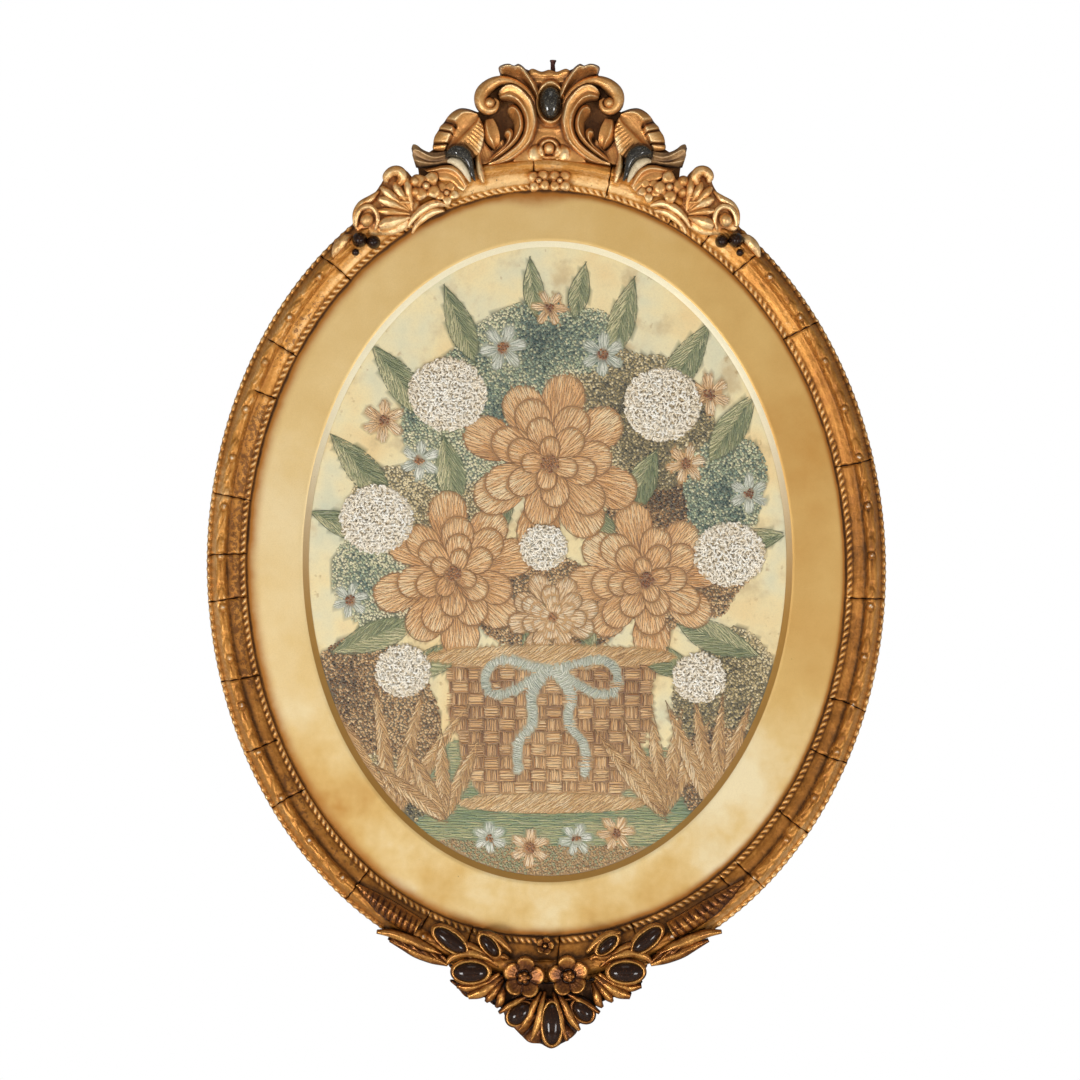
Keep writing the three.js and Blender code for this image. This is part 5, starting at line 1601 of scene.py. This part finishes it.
DAISIES = [
    (-98, 88, 13, "pale_peach"), (98, 104, 13, "pale_peach"), (-26, 132, 14, "ribbon"),
    (34, 128, 13, "ribbon"), (-118, -20, 11, "ribbon"), (122, 44, 12, "ribbon"), (-76, 64, 12, "ribbon"),
    (2, 156, 11, "pale_peach"), (84, 62, 12, "pale_peach"), (-34, -163, 10, "ribbon"),
    (-10, -169, 12, "pale_peach"), (18, -164, 10, "ribbon"), (42, -160, 11, "pale_peach"),
]
WOOL_BALLS = [
    (-102, 28, 24), (110, 8, 22), (-60, 104, 25), (70, 98, 24), (-2, 12, 15), (-86, -62, 17),
    (92, -66, 17),
]
RIM = ("ellipse", "slant_flat", "straw", 3, -54, 76, 7.5, 0)
BOW = np.linspace(0, 2 * np.pi, 13)[:, None]
LOOP_X, LOOP_Z = 20 - 20 * np.cos(BOW), 8 * np.sin(BOW) * (1 - np.cos(BOW)) + 3 * np.cos(BOW) - 65
RIBBONS = [
    np.hstack([3 - LOOP_X, LOOP_Z]), np.hstack([3 + LOOP_X, LOOP_Z]),
    [(0, -64), (-9, -78), (-8, -93), (-17, -106), (-17, -122)],
    [(6, -64), (15, -78), (13, -93), (23, -108), (23, -124)],
]
shapes = list(SHAPES)
for x, z, count, first, step, reach in TUFTS:
    for k in range(count):
        a = np.radians(first + (k - (count - 1) / 2) * step / 2.6)
        shapes.append((
            "almond", "slant", "straw", x + reach * 0.9 * np.cos(a), z + reach * 0.9 * np.sin(a),
            reach, 4.6, np.degrees(a)
        ))
shapes += [("almond", "slant", "satin_leaf", *row) for row in LEAVES_OF_SILK]
for x, z, radius, turn_by, thread in ROSES:
    for count, reach, half_long, half_wide, shift in (
        (8, 0.66, 0.36, 0.30, 0.0), (7, 0.46, 0.30, 0.25, 0.5),
        (6, 0.29, 0.24, 0.20, 0.2), (4, 0.15, 0.17, 0.14, 0.6),
    ):
        for k in range(count):
            a = turn_by + 2 * np.pi * (k + shift) / count + 0.12 * np.sin(5.0 * k + x)
            out = reach * (1 + 0.07 * np.sin(3.0 * k + z))
            shapes.append((
                "petal", "slant_in", thread, x + out * radius * np.cos(a), z + out * radius * np.sin(a),
                half_long * radius, half_wide * radius, np.degrees(a),
            ))
    shapes.append(("ellipse", "knot", "rose_heart", x, z, 0.10 * radius, 0.10 * radius, 0))
for x, z, radius, thread in DAISIES:
    for k in range(6):
        a = x + 2 * np.pi * k / 6
        shapes.append((
            "petal", "slant_in", thread, x + 0.58 * radius * np.cos(a), z + 0.58 * radius * np.sin(a),
            0.46 * radius, 0.32 * radius, np.degrees(a),
        ))
    shapes.append(("ellipse", "knot", "rose_heart", x, z, 0.24 * radius, 0.24 * radius, 0))
shapes += [("cloud", "loop", "wool", x, z, radius, radius * 0.94, 0) for x, z, radius in WOOL_BALLS]
shapes.append(RIM)
for path in RIBBONS:
    places = through(np.array(path, float), 40)
    ahead = np.degrees(np.arctan2(*np.gradient(places, axis=0).T[::-1]))
    shapes += [("ellipse", "across", "ribbon", x, z, 2.4, 3.1, a) for (x, z), a in zip(places, ahead)]


def inside(shape, x, z):
    """Where x, z lie within a shape, and their place along and across it from -1 to 1."""
    form, stitch, _thread, middle_x, middle_z, half_long, half_wide, tilt = shape
    c, s = np.cos(np.radians(tilt)), np.sin(np.radians(tilt))
    dx, dz = x - middle_x, z - middle_z
    u, v = (dx * c + dz * s) / half_long, (dz * c - dx * s) / half_wide
    edge = np.sqrt(np.maximum(1 - u**2, 0))
    if form == "almond":
        edge = np.maximum(1 - u**2, 0) * (1 - 0.3 * u)
    if form == "petal":
        edge = edge * (0.80 + 0.20 * u)
    if form == "basket":
        edge = 1.0 * (np.abs(u) < 0.84 + 0.16 * v - 0.10 * v**2 + 0.02 * np.sin(9 * v))
    if form == "ground":
        edge = 1 + 0.12 * patches(70, x, 0 * z, 30.0) / (half_wide / 30)
    if form == "cloud":
        wobble = (0.15 if stitch == "knot" else 0.06) * patches(80, x, z, 13.0)
        return np.hypot(u, v) < 0.93 + wobble, u, v
    return (np.abs(v) < edge) & (np.abs(u) < 1), u, v


def owners_of(x, z):
    """The last shape that each place lies in, or -1, and its place along and across it."""
    owner = np.full(x.shape, -1)
    along, across = np.zeros(x.shape), np.zeros(x.shape)
    for k, shape in enumerate(shapes):
        within, u, v = inside(shape, x, z)
        owner = np.where(within, k, owner)
        along, across = np.where(within, u, along), np.where(within, v, across)
    return owner, along, across


def spots(pitch, seed, stray):
    """Places of a triangular lattice, moved by up to stray of its pitch, in the mat's opening."""
    generator = np.random.default_rng(seed)
    x, z = np.meshgrid(np.arange(-146, 148, pitch), np.arange(-190, 196, pitch * 0.866))
    x = x + pitch / 2 * (np.arange(len(x))[:, None] % 2)
    x, z = (a.ravel() + generator.uniform(-stray, stray, a.size) * pitch for a in (x, z))
    within = ellipse_share(x, z, OPENING[:2], OPENING[2] - 0.8, OPENING[3] - 0.8) < 1
    return x[within], z[within], generator


SHEET_TOP = 4.3
SHEET_BACK = 3.4
silk = Finish("painted_silk", roughness=0.55, sheen_weight=0.25)
sky = silk.noise(48.0, detail=3.0)
tint = silk.noise(20.0, detail=4.0)
weave = silk.noise(0.8, detail=1.0)
paint = silk.ramp(
    sky, (0.36, color("#EACD94")), (0.48, color("#ECD9A6")),
    (0.58, color("#E3D8B0")), (0.70, color("#D0CEB0")),
)
paint = silk.blend(paint, color("#C4A878"), silk.squeeze(tint, 0.50, 0.74) * 0.75)
fox = silk.squeeze(silk.noise(6.5, detail=3.0), 0.64, 0.76)
paint = silk.blend(paint, color("#A47C48"), fox * 0.55)
paint = silk.blend(paint, silk.attribute("under", output="Color"), silk.attribute("covered"))
silk.set(
    Base_Color=silk.blend(paint, color("#A89A7C"), (weave - 0.4) * 0.4),
    Normal=silk.bump(weave, 0.08, 0.4),
)
sheet_angles = np.linspace(0, 2 * np.pi, 288, endpoint=False)[None]
sheet_shares = np.linspace(0, 1, 70)[:, None]
edge_x, edge_z = oval(sheet_angles, REBATE + 0.1 + 0 * sheet_angles)
sheet_x, sheet_z = edge_x * sheet_shares, edge_z * sheet_shares
owner, along, across = owners_of(sheet_x, sheet_z)
under = np.zeros((*owner.shape, 3))
for k, shape in enumerate(shapes):
    under[owner == k] = THREADS[shape[2]][0] * 0.9 + THREADS[shape[2]][1] * 0.1
covered = (owner >= 0) * 0.85
sheet_grid = np.stack([sheet_x, np.full_like(sheet_x, SHEET_TOP), sheet_z], axis=-1)
back_rim = sheet_grid[-1:].copy()
back_rim[..., 1] = SHEET_BACK
back_middle = np.zeros_like(back_rim)
back_middle[..., 1] = SHEET_BACK
sheet_grid = np.concatenate([sheet_grid, back_rim, back_middle])
last = np.zeros((2, sheet_angles.size))
sheet = make(
    "silk_sheet", [sheet_grid], silk, "silk", "silk_panel",
    under=[np.concatenate([under, np.zeros((2, sheet_angles.size, 3))])],
    covered=[np.concatenate([covered, last])],
)


# Embroidery. French knots for the foliage and the flowers' hearts, satin stitches for petals,
# leaves, straw, ribbon, ground and the basket's woven blocks, and loops of white wool over knots
# for the round blossoms. All are worked through the silk by hand.
def scatter(name, unit, x, height, z, turn, sizes, colors, finish):
    """Copies of a small closed grid, unit, as (x, height, z), each scaled along its three axes,
    turned in the plane of the silk and moved to its place."""
    c, s = np.cos(turn)[:, None, None], np.sin(turn)[:, None, None]
    local = unit[None] * sizes[:, None, None, :]
    places = np.stack([
        x[:, None, None] + local[..., 0] * c - local[..., 2] * s,
        height[:, None, None] + local[..., 1],
        z[:, None, None] + local[..., 0] * s + local[..., 2] * c,
    ], axis=-1)
    corners, used = sewn(*unit.shape[:2], (0, -1), False)
    corners = turned_out(unit.reshape(-1, 3)[used] * (1, -1, 1), corners)
    quads = (corners[None] + len(used) * np.arange(len(x))[:, None, None]).reshape(-1, 4)
    points = places.reshape(len(x), -1, 3)[:, used].reshape(-1, 3)
    thread = np.repeat(colors, len(used), axis=0)
    return put_piece(name, points, quads, finish, {"thread": thread})


def spun(profile, columns, bend=0.0):
    """Grid of a small body of revolution along x: profile rows are place along x and radius, and
    bend moves its middle sideways by bend times (1 - x squared)."""
    a = 2 * np.pi * np.arange(columns)[None] / columns
    along, radius = (np.array(column)[:, None] for column in np.transpose(profile))
    return np.stack(
        [along + 0 * a, radius * np.cos(a), radius * np.sin(a) + bend * (1 - along**2)], axis=-1
    )


def thread_finish(name, gloss, sheen):
    """Thread: each stitch's own colour, streaked darker by fine noise."""
    finish = Finish(name, roughness=gloss, sheen_weight=sheen)
    strand = finish.noise(0.5, detail=2.0)
    shade = finish.attribute("thread", output="Color")
    finish.set(Base_Color=finish.blend(shade, color("#3A2A1A"), (strand - 0.35) * 0.45))
    return finish


silk_thread = thread_finish("silk_thread", 0.42, 0.3)
wool_thread = thread_finish("wool_thread", 0.9, 0.5)
KNOT = np.stack([
    np.array([[0.0], [1.0], [0.0]]) * np.cos(2 * np.pi * np.arange(5) / 5),
    np.array([[-0.1], [0.3], [1.0]]) + np.zeros((1, 5)),
    np.array([[0.0], [1.0], [0.0]]) * np.sin(2 * np.pi * np.arange(5) / 5),
], axis=-1)
SATIN = spun([(-1, 0), (-0.72, 0.8), (0.72, 0.8), (1, 0)], 3)
LOOP = spun([(-1, 0), (-0.75, 0.9), (0, 1.0), (0.75, 0.9), (1, 0)], 4, bend=1.6)
KNOT_PITCH = 1.55


def worked(stitches, pitch, seed, stray=0.3):
    """Places of the given stitches with the shape that each lies in, its along and its across."""
    x, z, generator = spots(pitch, seed, stray)
    owner, along, across = owners_of(x, z)
    kinds = np.array([shape[1] for shape in shapes] + [""])
    kept = np.isin(kinds[owner], stitches)
    return x[kept], z[kept], owner[kept], along[kept], across[kept], generator


def shaded(owner, value):
    """Thread colours for each place by its shape's thread and a value from 0 to 1."""
    colors = np.zeros((len(owner), 3))
    for k in np.unique(owner):
        colors[owner == k] = thread_color(shapes[k][2], value[owner == k])
    return colors


x, z, owner, along, across, generator = worked(["knot", "loop"], KNOT_PITCH, 21, stray=0.42)
names = np.array([shape[2] for shape in shapes])[owner]
value = 0.56 + 0.34 * patches(90, x, z, 15.0) + generator.normal(0, 0.24, x.size)
rim_light = np.where(np.isin(names, ["leaf", "blue_leaf"]), 0.34 * (np.hypot(along, across) - 0.55), 0)
knot_colors = shaded(owner, value + rim_light)
size = generator.uniform(0.74, 1.05, x.size) * np.where(names == "wool", 1.35, 1.0)
sizes = np.stack([size, size * 1.05, size], axis=-1)
turn = generator.uniform(0, 6.28, x.size)
for part, chosen in enumerate((x < 0, x >= 0)):
    scatter(
        f"knots_{part + 1}", KNOT,
        x[chosen], np.full(chosen.sum(), SHEET_TOP - 0.05), z[chosen], turn[chosen],
        sizes[chosen], knot_colors[chosen], silk_thread,
    )

SATIN_KINDS = ["flat", "slant", "slant_flat", "slant_in", "across", "woven"]
BLOCK = np.array([9.4, 7.6])
x, z, owner, along, across, generator = worked(SATIN_KINDS, 1.98, 22)
kinds = np.array([shape[1] for shape in shapes])[owner]
tilts = np.radians(np.array([shape[7] for shape in shapes], float))[owner]
direction = tilts + generator.normal(0, 0.06, x.size)
direction += np.where(kinds == "slant", -0.42 * np.sign(across), 0)
direction += np.where(kinds == "slant_in", 0.45 * across * (1 - 0.5 * along), 0)
direction += np.where(kinds == "slant_flat", 0.6, 0) + np.where(kinds == "across", 1.35, 0)
block = np.floor(np.stack([x, z], axis=-1) / BLOCK)
from_middle = np.stack([x, z], axis=-1) / BLOCK - block - 0.5
upright = (block.sum(axis=1) % 2 == 1) & (kinds == "woven")
direction += np.where(upright, np.pi / 2, 0)
x = np.where((kinds == "woven") & ~upright, x - 0.8 * from_middle[:, 0] * BLOCK[0], x)
z = np.where(upright, z - 0.8 * from_middle[:, 1] * BLOCK[1], z)
beside = np.where(upright, from_middle[:, 0], from_middle[:, 1])
half = np.select(
    [kinds == "flat", kinds == "slant", kinds == "across", kinds == "slant_flat", kinds == "woven"],
    [5.0, 2.8, 2.6, 3.2, np.where(upright, 3.7, 4.6)], 4.2,
) * generator.uniform(0.78, 1.16, x.size)
for _ in range(3):
    for end in (-1, 1):
        end_owner, _u, _v = owners_of(
            x + end * half * np.cos(direction), z + end * half * np.sin(direction)
        )
        other = np.array([shape[1] for shape in shapes] + [""])[end_owner]
        out = (end_owner != owner) & ~((kinds == "across") & (other == "across"))
        x = np.where(out, x - end * 0.22 * half * np.cos(direction), x)
        z = np.where(out, z - end * 0.22 * half * np.sin(direction), z)
        half = np.where(out, half * 0.78, half)
value = 0.54 + 0.16 * patches(60, x, z, 9.0) + generator.normal(0, 0.17, x.size)
value += np.where(kinds == "slant_in", 0.30 * along - 0.22 * np.abs(across) ** 3, 0)
value += np.where(kinds == "slant", 0.20 * np.sign(across) - 0.25 * bell(across, 0.12), 0)
value += np.where(kinds == "flat", 0.34 * patches(66, 0.25 * x, 1.6 * z, 16.0), 0)
value += np.where(kinds == "woven", 0.10 - 1.5 * beside**2 - 0.16 * upright - 0.24 * np.abs(along) ** 3, 0)
height = SHEET_TOP + 0.16 + generator.uniform(0, 0.22, x.size)
sizes = np.stack([half, np.full_like(half, 0.38), generator.uniform(0.44, 0.56, x.size)], axis=-1)
scatter(
    "satin_stitches", SATIN, x, height, z, direction, sizes, shaded(owner, value), silk_thread
)

x, z, owner, along, across, generator = worked(["loop"], 1.9, 23)
value = 0.70 - 0.30 * np.hypot(along, across) ** 4 + generator.normal(0, 0.2, x.size)
swell = np.clip(1 - np.hypot(along, across) ** 2, 0, 1) ** 0.5
height = SHEET_TOP + 0.5 + 1.1 * swell + generator.uniform(0, 0.5, x.size)
sizes = np.stack(
    [generator.uniform(1.2, 1.9, x.size), np.full(x.size, 0.75), np.full(x.size, 0.66)], axis=-1
)
scatter(
    "wool_loops", LOOP, x, height, z, generator.uniform(0, 6.28, x.size), sizes,
    shaded(owner, value), wool_thread
)


def outline_of(shape, count):
    """Places round a shape's edge and the direction there: u = cos t and v = edge(u) sin t."""
    form, _stitch, _thread, middle_x, middle_z, half_long, half_wide, tilt = shape
    t = np.linspace(0, 2 * np.pi, count, endpoint=False)
    u = np.cos(t)
    v = np.sin(t) * (np.abs(np.sin(t)) * (1 - 0.3 * u) if form == "almond" else 0.80 + 0.20 * u)
    c, s = np.cos(np.radians(tilt)), np.sin(np.radians(tilt))
    x = middle_x + u * half_long * c - v * half_wide * s
    z = middle_z + u * half_long * s + v * half_wide * c
    return x, z, np.arctan2(np.gradient(z), np.gradient(x))


outlined = [k for k, shape in enumerate(shapes) if shape[0] in ("petal", "almond") and shape[5] > 7]
edges = [outline_of(shapes[k], 46) for k in outlined]
edge_owner = np.repeat(outlined, 46)
x, z, direction = (np.concatenate([edge[k] for edge in edges]) for k in range(3))
middles = np.array([shape[3:5] for shape in shapes], float)[edge_owner]
seen_owner, _u, _v = owners_of(x + (middles[:, 0] - x) * 0.05, z + (middles[:, 1] - z) * 0.05)
kept = (seen_owner == edge_owner) & (ellipse_share(x, z, OPENING[:2], OPENING[2] - 1, OPENING[3] - 1) < 1)
x, z, direction, edge_owner = x[kept], z[kept], direction[kept], edge_owner[kept]
sizes = np.stack([np.full(x.size, 1.5), np.full(x.size, 0.30), np.full(x.size, 0.26)], axis=-1)
scatter(
    "outline_stitches", SATIN, x, np.full(x.size, SHEET_TOP + 0.42), z, direction, sizes,
    shaded(edge_owner, np.full(x.size, 0.02)) * 0.8, silk_thread,
)


# Stage. A plain pale floor well below the hung frame, a white surround, two soft boxes low on
# the left and right as the gloss of the stones shows, a large one below and a weak one above.
FLOOR_DROP = 1200.0
FLOOR_SIZE = 6000.0
floor_finish = Finish("floor_paper", roughness=0.9)
floor_finish.shader.inputs["Base Color"].default_value = (0.86, 0.86, 0.85, 1.0)
floor_mesh = bpy.data.meshes.new("floor")
half = FLOOR_SIZE / 2 * MM
floor_mesh.from_pydata(
    [(-half, -half, -FLOOR_DROP * MM), (half, -half, -FLOOR_DROP * MM),
     (half, half, -FLOOR_DROP * MM), (-half, half, -FLOOR_DROP * MM)],
    [], [(0, 1, 2, 3)],
)
floor_mesh.materials.append(floor_finish.material)
floor = bpy.data.objects.new("floor", floor_mesh)
bpy.context.scene.collection.objects.link(floor)
floor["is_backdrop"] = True

SURROUND_LOW = 0.75
SURROUND_HIGH = 0.22
world = bpy.data.worlds.new("surround")
world.use_nodes = True
sky = Finish.__new__(Finish)
sky.tree = world.node_tree
seen = sky.add("ShaderNodeLightPath", output="Is Camera Ray")
toward = sky.add("ShaderNodeTexCoord", output="Generated")
upward = sky.add("ShaderNodeSeparateXYZ", {0: toward}, output="Z")
glow = SURROUND_LOW + (SURROUND_HIGH - SURROUND_LOW) * sky.squeeze(upward, -0.6, 0.5)
background = world.node_tree.nodes["Background"]
world.node_tree.links.new((seen + (1.0 - seen) * glow).socket, background.inputs["Strength"])
background.inputs["Color"].default_value = (1.0, 1.0, 1.0, 1.0)
bpy.context.scene.world = world
bpy.context.scene.view_settings.view_transform = "Standard"


def soft_box(name, place, size, power):
    """A square area lamp at a place in mm that points at the middle of the frame."""
    data = bpy.data.lights.new(name, "AREA")
    data.size = size * MM
    data.energy = power
    lamp = bpy.data.objects.new(name, data)
    lamp.location = [c * MM for c in place]
    toward = -lamp.location.normalized()
    lamp.rotation_euler = toward.to_track_quat("-Z", "Y").to_euler()
    bpy.context.scene.collection.objects.link(lamp)


soft_box("low_left", (-1100, -1500, -700), 500, 19)
soft_box("low_right", (1150, -1500, -750), 500, 13)
soft_box("below", (-150, -1200, -1700), 900, 17)
soft_box("above", (0, -1400, 1600), 900, 3)

# Size of the dressed part beside the imported one.
sizes = {"cad_box": CAD_BOX, "visual_box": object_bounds()}
